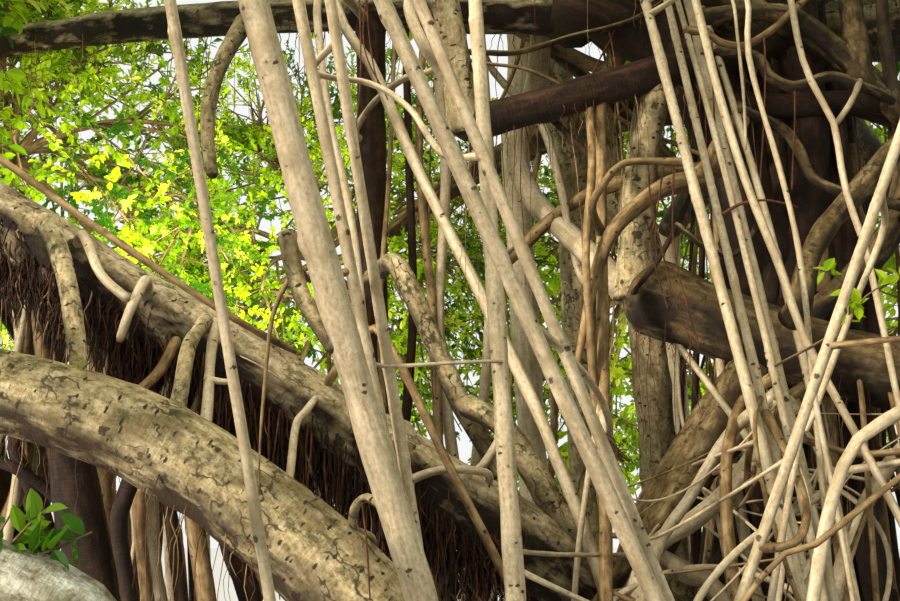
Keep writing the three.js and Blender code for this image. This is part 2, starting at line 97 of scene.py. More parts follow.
def pixels_of(points: Array) -> Array:
    """Where the photograph shows places.

    Args:
        points: Places, one a row.
    Returns:
        Their pixel columns and rows, one pair a row.
    """
    rel = points - np.array(EYE)
    depth = rel[:, 1] * math.cos(PITCH) + rel[:, 2] * math.sin(PITCH)
    high = rel[:, 2] * math.cos(PITCH) - rel[:, 1] * math.sin(PITCH)
    depth = np.maximum(depth, 1e-3)
    return np.stack(
        [PHOTO_WIDTH / 2 + FOCAL_PIXELS * rel[:, 0] / depth, PHOTO_HEIGHT / 2 - FOCAL_PIXELS * high / depth], axis=1
    )


def mix(a: float | Array, b: float | Array, share: float | Array) -> float | Array:
    """The value at a share of the way from a to b."""
    return a + (b - a) * share


def unit(vectors: Array) -> Array:
    """Vectors at length one, along the last axis."""
    return vectors / np.maximum(norm(vectors, axis=-1, keepdims=True), 1e-9)


def rough(points: Array, size: float | Point, seed: int) -> Array:
    """Smooth noise between -1 and 1 in space.

    Args:
        points: Places, one a row.
        size: How far apart its lumps are, in metres, alike or for each axis.
        seed: Which noise it is.
    Returns:
        One value for each place.
    """
    place = points / np.asarray(size) + seed * 17.31
    cell = np.floor(place).astype(np.int64)
    share = place - cell
    share = share * share * (3 - 2 * share)
    total = np.zeros(len(points))
    for corner in product((0, 1), repeat=3):
        key = (cell + corner) @ np.array([73856093, 19349663, 83492791])
        key = (key ^ (key >> 13)) * 1274126177 & 0xFFFFFFFF
        value = ((key ^ (key >> 16)) & 0xFFFF) / 32767.5 - 1
        total += value * np.prod(np.where(corner, share, 1 - share), axis=1)
    return total


# ---- finishes ----


def linear(hex_colour: str) -> tuple[float, float, float, float]:
    """An sRGB hex colour as the linear colour that a shader takes.

    Args:
        hex_colour: Six hex digits.
    Returns:
        Red, green, blue and an alpha of one.
    """
    parts = [int(hex_colour[n : n + 2], 16) / 255 for n in (0, 2, 4)]
    red, green, blue = (c / 12.92 if c <= 0.04045 else ((c + 0.055) / 1.055) ** 2.4 for c in parts)
    return red, green, blue, 1.0


def add_node(
    tree: bpy.types.NodeTree, kind: str, settings: dict | None = None, links: dict | None = None
) -> bpy.types.Node:
    """Adds a node to a tree.

    Args:
        tree: The node tree.
        kind: The node's type name, without the ShaderNode in front.
        settings: Values by socket or property; "ramp" takes a list of positions and hex colours.
        links: Output sockets by the input that they feed.
    Returns:
        The node.
    """
    node = tree.nodes.new(f"ShaderNode{kind}")
    for key, value in (settings or {}).items():
        if key == "ramp":
            stops = node.color_ramp.elements
            while len(stops) < len(value):
                stops.new(0.5)
            for stop, (position, colour) in zip(stops, value):
                stop.position = position
                stop.color = linear(colour)
        elif isinstance(key, int) or key in node.inputs:
            node.inputs[key].default_value = value
        else:
            setattr(node, key, value)
    for key, source in (links or {}).items():
        tree.links.new(source, node.inputs[key])
    return node


@dataclass(frozen=True)
class BarkFinish:
    """Bark of a fig, drawn in the coordinates of the limb straightened out, which its attribute skin holds.

    Sizes are in millimetres: streak is the width and length of the grain, mottle of the small flecks of old
    skin, blotch a patch of tone, lenticel the cells that hold one corky dash each, and crack the plates between
    cracks, across and along a limb.
    """

    name: str
    dark: str
    mid: str
    pale: str
    blotch_colour: str
    damp_and_shade_colour: str
    moss: str
    streak: Pair = (30.0, 400.0)
    mottle: Pair = (36.0, 60.0)
    blotch: float = 260.0
    lenticel: Pair = (42.0, 20.0)
    lenticel_share: float = 0.5
    lenticel_colour: str = "3a2f22"
    damp_and_shade_share: float = 0.6
    damp_and_shade_range: Pair = (0.1, -0.5)  # how far the skin looks up where the damp stains and painted shade below start and are full
    moss_share: float = 0.3
    crack: Pair = (110.0, 230.0)
    crack_share: float = 0.0
    roughness: float = 0.82
    relief_mm: float = 8.0

    def make(self) -> bpy.types.Material:
        """Builds the material.

        Returns:
            The material.
        """
        material = bpy.data.materials.new(self.name)
        material.use_nodes = True
        tree = material.node_tree
        tree.nodes.clear()
        skin = add_node(tree, "Attribute", {"attribute_name": "skin"}).outputs["Vector"]
        knots = add_node(tree, "Attribute", {"attribute_name": "knot"}).outputs["Fac"]
        normal = add_node(tree, "NewGeometry").outputs["Normal"]
        upward = add_node(tree, "SeparateXYZ", links={0: normal}).outputs["Z"]

        # Each pattern's cell, across and along in millimetres, and its noise's detail and roughness
        patterns = {
            "grain": (*self.streak, 3, 0.6), "flecks": (*self.mottle, 5, 0.7),
            "patches": (self.blotch, self.blotch * 1.6, 3, 0.6), "corky_cells": (*self.lenticel, 0, 0.5),
            "groups": (150, 150, 1, 0.6), "scars": (60, 22, 3, 0.6), "damp_and_shade": (120, 300, 3, 0.6),
            "moss": (110, 150, 7, 0.78), "rings": (260, 16, 2, 0.6), "plates": (*self.crack, 0, 0.5),
            "waver": (70, 90, 2, 0.5), "old_skin": (190, 230, 1, 0.6),
        }
        where, noise = {}, {}
        for pattern, (across, along, detail, roughness) in patterns.items():
            scale = (1000 / across, 1000 / across, 1000 / along)
            where[pattern] = add_node(tree, "Mapping", {"Scale": scale}, {"Vector": skin}).outputs[0]
            settings = {"Scale": 1.0, "Detail": detail, "Roughness": roughness}
            noise[pattern] = add_node(tree, "TexNoise", settings, {"Vector": where[pattern]}).outputs
        grain, flecks = noise["grain"]["Fac"], noise["flecks"]["Fac"]

        # Grain that runs with the limb and flecks of old skin, from dark furrows to the pale polished skin
        tone = add_node(tree, "Mix", {0: 0.55}, {2: grain, 3: flecks}).outputs[0]
        ramp = [(0.34, self.dark), (0.47, self.mid), (0.64, self.pale)]
        colour = add_node(tree, "ValToRGB", {"ramp": ramp}, {"Fac": tone}).outputs["Color"]
        # Corky dashes across the limb in ragged groups, and the ragged hearts of old knots
        corky = add_node(tree, "TexVoronoi", {"Scale": 1.0}, {"Vector": where["corky_cells"]}).outputs["Distance"]
        ragged = add_node(tree, "Math", {"operation": "MULTIPLY_ADD", 1: 0.5}, {0: flecks, 2: corky})
        torn = add_node(tree, "Math", {"operation": "ADD"}, {0: knots, 1: flecks})
        # Thin cracks round plates of old skin, whose edges waver
        settings = {"operation": "MULTIPLY_ADD", 1: (0.9, 0.9, 0.9)}
        wound = add_node(tree, "VectorMath", settings, {0: noise["waver"]["Color"], 2: where["plates"]})
        settings = {"feature": "DISTANCE_TO_EDGE", "Scale": 1.0}
        plates = add_node(tree, "TexVoronoi", settings, {"Vector": wound.outputs[0]})
        # What each share grows with, the values at which it starts and is full, and how much it is then
        group_start = 0.62 - 0.3 * self.lenticel_share
        ranges = {
            "patch": (noise["patches"]["Fac"], 0.5, 0.64, 0.7),
            "dash": (ragged.outputs[0], 0.45, 0.4, 1.0),
            "group": (noise["groups"]["Fac"], group_start, group_start + 0.07, 1.0),
            "scar": (noise["scars"]["Fac"], 0.67, 0.72, self.lenticel_share),
            "heart": (torn.outputs[0], 1.12, 1.24, 0.95),
            "knot": (knots, 0.05, 0.3, 1.0),
            "crack": (plates.outputs["Distance"], 0.06, 0.015, 1.0),
            "old_skin": (noise["old_skin"]["Fac"], 0.48, 0.58, self.crack_share),
            # Painted shade: the skin darkens where it faces down, broken up by the damp noise
            "underside": (upward, *self.damp_and_shade_range, 1.0),
            "damp_and_shade": (noise["damp_and_shade"]["Fac"], 0.25, 0.5, self.damp_and_shade_share),
            "light_side": (upward, -0.9, 0.3, 1.0),
            "moss": (noise["moss"]["Fac"], 0.5, 0.63, self.moss_share),
        }
        share = {}
        for label, (value, start, full, most) in ranges.items():
            settings = {"From Min": start, "From Max": full, "To Max": most}
            share[label] = add_node(tree, "MapRange", settings, {"Value": value}).outputs[0]
        for label, operation, other in (
            ("dash", "MULTIPLY", "group"), ("dash", "MAXIMUM", "scar"), ("heart", "MULTIPLY", "knot"),
            ("dash", "MAXIMUM", "heart"), ("crack", "MULTIPLY", "old_skin"), ("damp_and_shade", "MULTIPLY", "underside"),
            ("moss", "MULTIPLY", "light_side"),
        ):
            links = {0: share[label], 1: share[other]}
            share[label] = add_node(tree, "Math", {"operation": operation}, links).outputs[0]
        # Patches of another age, dashes, cracks, damp stains with painted shade on the undersides, and moss where the
        # limb looks up
        layers = {
            "patch": self.blotch_colour, "dash": self.lenticel_colour, "crack": self.lenticel_colour,
            "damp_and_shade": self.damp_and_shade_colour, "moss": self.moss,
        }
        if not self.crack_share:
            del layers["crack"]
        for label, upper in layers.items():
            settings = {"data_type": "RGBA", 7: linear(upper)}
            colour = add_node(tree, "Mix", settings, {0: share[label], 6: colour}).outputs[2]
        # Fine rings across the limb, the dashes' hollows and the grain's furrows
        links = {0: noise["rings"]["Fac"], 2: tone}
        height = add_node(tree, "Math", {"operation": "MULTIPLY_ADD", 1: 0.5}, links)
        height = add_node(tree, "Math", {"operation": "SUBTRACT"}, {0: height.outputs[0], 1: share["dash"]})
        settings = {"Strength": 0.9, "Distance": self.relief_mm / 1000}
        bump = add_node(tree, "Bump", settings, {"Height": height.outputs[0]})
        settings = {"Roughness": self.roughness, "IOR": 1.45}
        links = {"Base Color": colour, "Normal": bump.outputs[0]}
        shader = add_node(tree, "BsdfPrincipled", settings, links)
        add_node(tree, "OutputMaterial", links={"Surface": shader.outputs[0]})
        return material


@dataclass(frozen=True)
class LeafFinish:
    """A fig leaf's waxy blade: a plain colour, a soft shine, and light that comes through it."""

    name: str
    colour: str
    through: str
    through_share: float = 0.45
    roughness: float = 0.6
    sheen: float = 0.3

    def make(self) -> bpy.types.Material:
        """Builds the material.

        Returns:
            The material.
        """
        material = bpy.data.materials.new(self.name)
        material.use_nodes = True
        tree = material.node_tree
        tree.nodes.clear()
        settings = {"Base Color": linear(self.colour), "Roughness": self.roughness, "Specular IOR Level": self.sheen}
        face = add_node(tree, "BsdfPrincipled", settings)
        through = add_node(tree, "BsdfTranslucent", {"Color": linear(self.through)})
        both = add_node(tree, "MixShader", {0: self.through_share}, {1: face.outputs[0], 2: through.outputs[0]})
        add_node(tree, "OutputMaterial", links={"Surface": both.outputs[0]})
        return material


class Bark(Enum):
    """The kinds of bark on the tree."""

    # Old fused stems: dark brown and furrowed, darkened further as painted shade for the deep shade they stand in,
    # with damp stains and painted shade below
    TRUNK = BarkFinish(
        "fig_trunk_bark", "0e0704", "26150c", "4e3422", "1e1009", "0d0703", "32381c",
        streak=(55, 500), mottle=(50, 110), blotch=420, lenticel_share=0.15, damp_and_shade_share=0.5, relief_mm=16,
    )
    # Limbs in good light: smooth cream and grey skin with dashes, moss on its sides, and damp stains with painted
    # shade below
    BOUGH = BarkFinish(
        "fig_bough_bark", "5e4e32", "a8966c", "d8caa2", "665a38", "2a180a", "3c3f20",
        streak=(50, 120), mottle=(24, 30), blotch=240, lenticel=(92, 44), lenticel_share=0.8,
        damp_and_shade_share=0.97, moss_share=0.9, crack_share=0.9, relief_mm=14,
    )
    # The same skin on a limb whose lower half is covered by young roots, damp and painted shade
    STAINED_SHADED_BOUGH = BarkFinish(
        "stained_and_shaded_fig_bough_bark", "5c4a30", "a8966f", "d8ccac", "665338", "1c0d06", "45441f",
        streak=(60, 160), mottle=(28, 34), blotch=260, lenticel=(92, 44), damp_and_shade_share=1,
        damp_and_shade_range=(0.45, 0.1), moss_share=0.6, crack_share=0.7, relief_mm=14,
    )
    # Limbs under the crown: the same skin, darkened as painted shade
    SHADED_BOUGH = BarkFinish(
        "shaded_fig_bough_bark", "32220f", "6c5736", "ab956a", "47341b", "180c05", "454821",
        streak=(60, 300), mottle=(50, 70), blotch=300, lenticel=(110, 52), damp_and_shade_share=0.97,
        damp_and_shade_range=(0.4, -0.05), moss_share=0.5, crack_share=0.8, relief_mm=12,
    )
    # Prop roots: pale and nearly smooth, with rings and small dark pores
    ROOT = BarkFinish(
        "fig_prop_root_bark", "948062", "c0af8e", "ded1b6", "a4906c", "46311b", "6f6a3c",
        streak=(26, 280), mottle=(18, 26), blotch=180, lenticel=(76, 46), lenticel_share=0.22,
        roughness=0.7, relief_mm=4,
    )
    # A low root that lies in the open: brown skin under crusts of grey and green lichen
    LICHEN_ROOT = BarkFinish(
        "lichened_fig_root_bark", "3a3122", "857e66", "c4c4b0", "646545", "2a1f13", "e0e2d4",
        streak=(60, 160), mottle=(30, 34), blotch=90, lenticel_share=0.2, moss_share=0.8, relief_mm=14,
    )
    # Prop roots in tan to brown, darker than the pale ones; on the roots behind this is painted shade
    TAN_ROOT = BarkFinish(
        "tan_fig_root_bark", "45311b", "866c47", "b99f72", "5a4225", "28170a", "55522a",
        streak=(30, 400), mottle=(30, 70), blotch=160, lenticel=(60, 50), lenticel_share=0.4, roughness=0.8,
        relief_mm=5,
    )
    # Thin young roots that hang free: reddish brown and stringy
    HAIR = BarkFinish(
        "fig_hair_root_skin", "2a140b", "4f2b19", "7c4f33", "3a2012", "200e07", "44361f",
        streak=(8, 90), blotch=120, lenticel_share=0, damp_and_shade_share=0.2, moss_share=0.1, relief_mm=2,
    )
    # Twigs in the crown: thin grey-brown bark
    TWIG = BarkFinish(
        "fig_twig_bark", "3a2c1c", "6d5a3c", "968260", "4d4026", "2f2114", "515a28",
        streak=(20, 200), blotch=150, lenticel_share=0.2, relief_mm=3,
    )


class Leaf(Enum):
    """Leaf colours, dealt out by spray."""

    YOUNG = LeafFinish("young_fig_leaf", "a4c41a", "d4ea28")
    FRESH = LeafFinish("fresh_fig_leaf", "82a812", "bad81c")
    MATURE = LeafFinish("mature_fig_leaf", "567f0c", "92b816")
    SHADE = LeafFinish("shade_fig_leaf", "28520e", "5a9214")
    PALE = LeafFinish("pale_fig_leaf", "c4d44c", "e6ee66")


LEAF_WEIGHTS = (0.24, 0.3, 0.23, 0.13, 0.1)
_made: dict[Enum, bpy.types.Material] = {}


def material_of(kind: Enum) -> bpy.types.Material:
    """The material of a kind of bark or leaf, made once.

    Args:
        kind: The kind.
    Returns:
        Its material.
    """
    if kind not in _made:
        _made[kind] = kind.value.make()
    return _made[kind]


# ---- curves and meshes ----


@dataclass(frozen=True)
class Arc:
    """A curve through start and end whose middle stands off the chord by bow."""

    start: Point
    end: Point
    bow: Point = (0.0, 0.0, 0.0)

    def points(self, shares: Array) -> Array:
        """Places along the curve.

        Args:
            shares: How far along each is, from 0 to 1.
        Returns:
            The places, one a row.
        """
        start, end = np.asarray(self.start, float), np.asarray(self.end, float)
        control = (start + end) / 2 + 2 * np.asarray(self.bow, float)
        s = np.asarray(shares, float)[..., None]
        return (1 - s) ** 2 * start + 2 * s * (1 - s) * control + s**2 * end

    def point(self, share: float) -> Array:
        """The place at one share of the way."""
        return self.points(np.array([share]))[0]

    def ahead(self, share: float) -> Array:
        """The direction of the curve at a share of the way."""
        low, high = max(share - 1e-3, 0.0), min(share + 1e-3, 1.0)
        return unit(self.point(high) - self.point(low))

    def length(self) -> float:
        """The curve's length in metres."""
        return float(norm(np.diff(self.points(np.linspace(0, 1, 41)), axis=0), axis=1).sum())


def smooth_path(points: Array, count: int) -> Array:
    """Even steps on a smooth curve through some places.

    Args:
        points: The places it passes, one a row.
        count: How many steps it is given in.
    Returns:
        The places of the steps.
    """
    padded = np.vstack([2 * points[0] - points[1], points, 2 * points[-1] - points[-2]])
    fine = []
    for a, b, c, d in zip(padded, padded[1:], padded[2:], padded[3:]):
        s = np.linspace(0, 1, 16, endpoint=False)[:, None]
        fine.append(0.5 * (2 * b + (c - a) * s + (2 * a - 5 * b + 4 * c - d) * s**2 + (3 * b - a - 3 * c + d) * s**3))
    fine = np.vstack([*fine, points[-1:]])
    run = np.concatenate([[0], np.cumsum(norm(np.diff(fine, axis=0), axis=1))])
    even = np.linspace(0, run[-1], count)
    return np.stack([np.interp(even, run, fine[:, k]) for k in range(3)], axis=1)


def frames(paths: Array) -> tuple[Array, Array]:
    """Two directions across each path at each of its steps, which turn as little as they can.

    Args:
        paths: Places with the shape paths, steps, 3.
    Returns:
        The two directions, each with that shape.
    """
    ahead = unit(np.gradient(paths, axis=1))
    upright = np.abs(ahead[:, :1, 2:]) > 0.9
    aside = np.where(upright, np.array([1.0, 0, 0]), np.array([0, 0, 1.0]))
    right = np.empty_like(paths)
    right[:, 0] = unit(np.cross(aside[:, 0], ahead[:, 0]))
    for n in range(1, paths.shape[1]):
        last = right[:, n - 1]
        right[:, n] = unit(last - ahead[:, n] * np.sum(last * ahead[:, n], axis=1, keepdims=True))
    return right, np.cross(right, ahead)


@dataclass(frozen=True)
class Relief:
    """How a limb's surface departs from a plain tube. Amounts are shares of its radius."""

    lumps: float = 0.07
    lump_size: float = 0.45
    cords: float = 0.03
    cord_count: int = 5
    rings: float = 0.012
    knots: int = 8
    knot_height: float = 0.16
    knot_size: float = 1.0
    grit: float = 0.012

    def factor(self, angle: Array, along: Array, radius: Array, length: float, seed: int) -> tuple[Array, Array]:
        """The radius multiplier over a limb, and where its knots are.

        Args:
            angle: Angle round the limb, in radians.
            along: Distance from its start, in metres.
            radius: Plain radius there, in metres.
            length: The limb's length.
            seed: Which limb it is.
        Returns:
            One multiplier for each place, and how much it is a knot's heart, from 0 to 1.
        """
        around = np.stack([np.cos(angle) * radius, np.sin(angle) * radius, along], axis=1)
        wander = rough(around * [0.2, 0.2, 1], 0.9, seed + 3) * 1.6
        total = 1 + self.lumps * rough(around, self.lump_size, seed)
        total += 0.5 * self.lumps * rough(around, self.lump_size * 0.4, seed + 1)
        ridge = np.cos(self.cord_count * angle + wander + seed) * (0.6 + 0.4 * rough(around, 0.6, seed + 5))
        total += self.cords * ridge
        total += self.rings * rough(around * [0.3, 0.3, 1], 0.05, seed + 2)
        total += self.grit * rough(around, 0.03, seed + 4)
        hearts = np.zeros(len(angle))
        draw = np.random.default_rng(seed)
        for _ in range(self.knots):
            towards, at = draw.uniform(0, 2 * math.pi), draw.uniform(0.05, 0.95) * length
            width, height = draw.uniform(0.03, 0.075) * self.knot_size, draw.uniform(0.3, 1) * self.knot_height
            off = np.abs((angle - towards + math.pi) % (2 * math.pi) - math.pi) * radius
            far = np.hypot(off, along - at) / width
            total += height * (np.exp(-(far**2)) - 0.45 * np.exp(-((far * 2.4) ** 2)))
            hearts = np.maximum(hearts, np.exp(-((far * 1.3) ** 2)))
        return total, hearts


def limb_mesh(
    name: str, path: Array, radius_at: Callable[[Array, Array], Array], sides: int, relief: Relief, seed: int,
    ground: bool = False,
) -> bpy.types.Mesh:
    """A closed limb with its bark's relief, made of a grid that is wrapped round the path.

    Args:
        name: The mesh's name.
        path: Even steps along the limb's middle.
        radius_at: Gives the plain radius from the share of the way and the angle.
        sides: Faces round the limb.
        relief: How its surface departs from the plain one.
        seed: Which limb it is.
        ground: Whether it is cut flat at the ground.
    Returns:
        The mesh.
    """
    steps = len(path) - 1
    right, out = (side[0] for side in frames(path[None]))
    run = np.concatenate([[0], np.cumsum(norm(np.diff(path, axis=0), axis=1))])
    bm = bmesh.new()
    bmesh.ops.create_grid(bm, x_segments=sides, y_segments=steps, size=1.0)
    flat = np.array([vert.co[:2] for vert in bm.verts])
    angle = (flat[:, 0] + 1) * math.pi
    share = (flat[:, 1] + 1) / 2
    ring = np.rint(share * steps).astype(int)
    plain = radius_at(share, angle)
    around = np.where(angle > 2 * math.pi - 1e-4, 0.0, angle)
    factor, hearts = relief.factor(around, run[ring], plain, run[-1], seed)
    radius = plain * factor
    place = path[ring] + radius[:, None] * (
        np.cos(angle)[:, None] * right[ring] + np.sin(angle)[:, None] * out[ring]
    )
    skin = np.stack([np.cos(angle) * plain, np.sin(angle) * plain, run[ring] + seed * 3.7], axis=1)
    knot = bm.verts.layers.float.new("knot")
    layer = bm.verts.layers.float_vector.new("skin")
    for vert, co, coordinates, heart in zip(bm.verts, place.tolist(), skin.tolist(), hearts.tolist()):
        vert.co = co
        vert[layer] = coordinates
        vert[knot] = heart
    bmesh.ops.remove_doubles(bm, verts=[v for v in bm.verts if v.is_boundary], dist=1e-5)
    bmesh.ops.holes_fill(bm, edges=[e for e in bm.edges if e.is_boundary], sides=0)
    if ground:
        everything = [*bm.verts, *bm.edges, *bm.faces]
        bmesh.ops.bisect_plane(
            bm, geom=everything, dist=1e-5, plane_co=(0, 0, 0), plane_no=(0, 0, -1), clear_outer=True
        )
        bmesh.ops.holes_fill(bm, edges=[e for e in bm.edges if e.is_boundary], sides=0)
    bmesh.ops.recalc_face_normals(bm, faces=bm.faces)
    for face in bm.faces:
        face.smooth = len(face.verts) <= 4
    mesh = bpy.data.meshes.new(name)
    bm.to_mesh(mesh)
    bm.free()
    return mesh


class Heap:
    """Many small things gathered in arrays, to be joined in one mesh."""

    def __init__(self) -> None:
        """Starts an empty heap."""
        self.vertices: list[Array] = []
        self.skins: list[Array] = []
        self.corners: list[Array] = []
        self.sizes: list[Array] = []
        self.kinds: list[Array] = []
        self.count = 0

    def add(self, vertices: Array, blocks: Sequence[Array], kinds: Sequence[Array], skin: Array) -> None:
        """Adds vertices and their faces.

        Args:
            vertices: Places, one a row.
            blocks: Faces with the same number of corners, one face a row, by the vertices' numbers here.
            kinds: The material number of each face of each block.
            skin: The bark coordinates of each vertex.
        """
        self.vertices.append(vertices)
        self.skins.append(skin)
        for block, kind in zip(blocks, kinds):
            self.corners.append((block + self.count).ravel())
            self.sizes.append(np.full(len(block), block.shape[1]))
            self.kinds.append(kind)
        self.count += len(vertices)

    def add_tubes(self, paths: Array, radii: Array, sides: int, kinds: Array | int = 0) -> None:
        """Adds closed tubes that all have the same number of steps.

        Args:
            paths: Places with the shape tubes, steps, 3.
            radii: Radii with the shape tubes, steps.
            sides: Faces round a tube.
            kinds: Material number, alike or for each tube.
        """
        tubes, steps = paths.shape[:2]
        right, out = frames(paths)
        angle = np.arange(sides) * 2 * math.pi / sides
        across = np.cos(angle)[:, None] * right[:, :, None] + np.sin(angle)[:, None] * out[:, :, None]
        vertices = paths[:, :, None] + across * radii[:, :, None, None]
        vertices[..., 2] = np.maximum(vertices[..., 2], 0.0)
        run = norm(np.diff(paths, axis=1), axis=2).cumsum(axis=1)
        run = np.concatenate([np.zeros((tubes, 1)), run], axis=1) + np.arange(tubes)[:, None] * 1.7
        skin = np.empty_like(vertices)
        skin[..., 0] = np.cos(angle) * radii[..., None]
        skin[..., 1] = np.sin(angle) * radii[..., None]
        skin[..., 2] = run[..., None]
        number = np.arange(tubes * steps * sides).reshape(tubes, steps, sides)
        after = np.roll(number, -1, axis=2)
        quads = np.stack([number[:, :-1], number[:, 1:], after[:, 1:], after[:, :-1]], axis=-1)
        ends = np.concatenate([number[:, 0], number[:, -1, ::-1]])
        kind = np.broadcast_to(np.asarray(kinds), (tubes,))
        self.add(
            vertices.reshape(-1, 3),
            [quads.reshape(-1, 4), ends],
            [np.repeat(kind, (steps - 1) * sides), np.tile(kind, 2)],
            skin.reshape(-1, 3),
        )

    def build(self, name: str, smooth: bool) -> bpy.types.Mesh:
        """Joins all that was added.

        Args:
            name: The mesh's name.
            smooth: Whether its faces shade smoothly.
        Returns:
            The mesh.
        """
        mesh = bpy.data.meshes.new(name)
        vertices, corners, sizes = (np.concatenate(part) for part in (self.vertices, self.corners, self.sizes))
        mesh.vertices.add(len(vertices))
        mesh.vertices.foreach_set("co", vertices.astype(np.float32).ravel())
        mesh.loops.add(len(corners))
        mesh.loops.foreach_set("vertex_index", corners.astype(np.int32))
        mesh.polygons.add(len(sizes))
        mesh.polygons.foreach_set("loop_start", (np.cumsum(sizes) - sizes).astype(np.int32))
        mesh.polygons.foreach_set("material_index", np.concatenate(self.kinds).astype(np.int32))
        mesh.polygons.foreach_set("use_smooth", np.full(len(sizes), smooth))
        mesh.update(calc_edges=True)
        skin = mesh.attributes.new("skin", "FLOAT_VECTOR", "POINT")
        skin.data.foreach_set("vector", np.concatenate(self.skins).astype(np.float32).ravel())
        return mesh


class Slot(Enum):
    """The record's material slots."""

    TRUNK = "trunk_bark"
    BOUGH = "bough_bark"
    ROOT = "pale_root_bark"
    FOLIAGE = "foliage"


def add_piece(
    name: str, mesh: bpy.types.Mesh, finishes: Sequence[Enum], replaced: Sequence[str] = ()
) -> bpy.types.Object:
    """Puts a finished mesh in the scene as a piece of the tree.

    Args:
        name: The piece's name.
        mesh: Its mesh, which holds its place.
        finishes: Kinds of bark or leaf, by material number.
        replaced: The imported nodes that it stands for.
    Returns:
        The piece.
    """
    for kind in finishes:
        mesh.materials.append(material_of(kind))
    piece = bpy.data.objects.new(name, mesh)
    bpy.context.scene.collection.objects.link(piece)
    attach(piece, "root")
    if replaced:
        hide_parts(*replaced)
    log.info("%s: %d faces", name, len(mesh.polygons))
    return piece


# ---- crown ----


@dataclass(frozen=True)
class Mass:
    """One mass of foliage: its middle and its half sizes. Its node's name has foliage_ in front."""

    name: str
    middle: Triple
    size: Triple

    def outness(self, points: Array) -> Array:
        """How far out places lie: 0 at the middle and 1 at the edge."""
        return norm((points - np.array(self.middle)) / np.array(self.size), axis=-1)

    def places(self, ways: Array, shares: Array | float) -> Array:
        """The places that lie out in directions, at shares of the mass's reach there."""
        return ways * np.array(self.size) * np.asarray(shares)[..., None] + np.array(self.middle)

    def tip_from(self, start: Point) -> Array:
        """Where a bough that carries this mass ends.

        Args:
            start: Where the bough comes from.
        Returns:
            Its tip, inside the mass.
        """
        middle, size = np.array(self.middle), np.array(self.size)
        inward = np.asarray(start) - middle
        return middle + inward * TIP_SHARE / norm(inward / size)


TIP_SHARE = 0.6  # how far out of a mass's middle its bough ends
TERRITORY_GAP = 0.03  # kept to the neighbouring masses, as a share of a mass's size
LIMB_GAP = 0.05  # kept between leaves and the limbs that they pass
BOX_MARGIN = 0.3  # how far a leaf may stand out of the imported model's box


@dataclass(frozen=True)
class CrownPlan:
    """Where the masses stand: one on top, a ring of shoulders, and a rim that is lifted at the front."""

    front_angle: float = 255.0
    rim_masses: int = 12
    rim_reach: float = 7.9
    rim_heights: Pair = (4.5, 6.6)
    rim_size: float = 3.2
    rim_drops: Pair = (3.2, 2.4)
    shoulder_masses: int = 5
    shoulder_angle: float = 210.0
    shoulder: tuple[float, float, float, float] = (4.2, 8.4, 3.6, 2.4)
    top: Triple = (10.3, 3.6, 2.3)

    def mass_at(self, name: str, angle: float, reach: float, height: float, size: float, drop: float) -> Mass:
        """A mass that stands at an angle round the trunk."""
        turn = math.radians(angle)
        return Mass(name, (reach * math.cos(turn), reach * math.sin(turn), height), (size, size, drop))

    def masses(self) -> list[Mass]:
        """Every mass.

        Returns:
            The masses, in the source's order.
        """
        height, size, drop = self.top
        made = [self.mass_at("top", 0, 0, height, size, drop)]
        reach, height, size, drop = self.shoulder
        for n in range(self.shoulder_masses):
            angle = self.shoulder_angle + 360 / self.shoulder_masses * n
            made.append(self.mass_at(f"shoulder_{n}", angle, reach, height, size, drop))
        for n in range(self.rim_masses):
            angle = 360 / self.rim_masses * n
            front = (1 + math.cos(math.radians(angle - self.front_angle))) / 2
            height, drop = mix(*self.rim_heights, front), mix(*self.rim_drops, front)
            made.append(self.mass_at(f"rim_{n}", angle, self.rim_reach, height, self.rim_size, drop))
        return made


MASSES = {mass.name: mass for mass in CrownPlan().masses()}


def in_territory(mass: Mass, points: Array) -> Array:
    """Whether places are inside a mass and clear of its neighbours' space.

    Args:
        mass: The mass.
        points: Places, along the last axis.
    Returns:
        True or False for each place.
    """
    own = mass.outness(points)
    inside = (own <= 1) & (points[..., 2] > 0)
    for other in MASSES.values():
        if other is not mass:
            inside &= own + TERRITORY_GAP < other.outness(points)
    return inside


# ---- limbs ----


def swelling(run: Array, swell: float, reach: float) -> Array:
    """How much thicker a limb is at a distance from where it joins another or the ground."""
    return 1 + swell * np.exp(-run / reach)


def rounding(run: Array, reach: float) -> Array:
    """How much thinner a limb is at a distance from a round end, which is blunt where it closes."""
    return np.sqrt(np.clip(run / reach + 0.03, 0, 1)) if reach else np.ones_like(run)


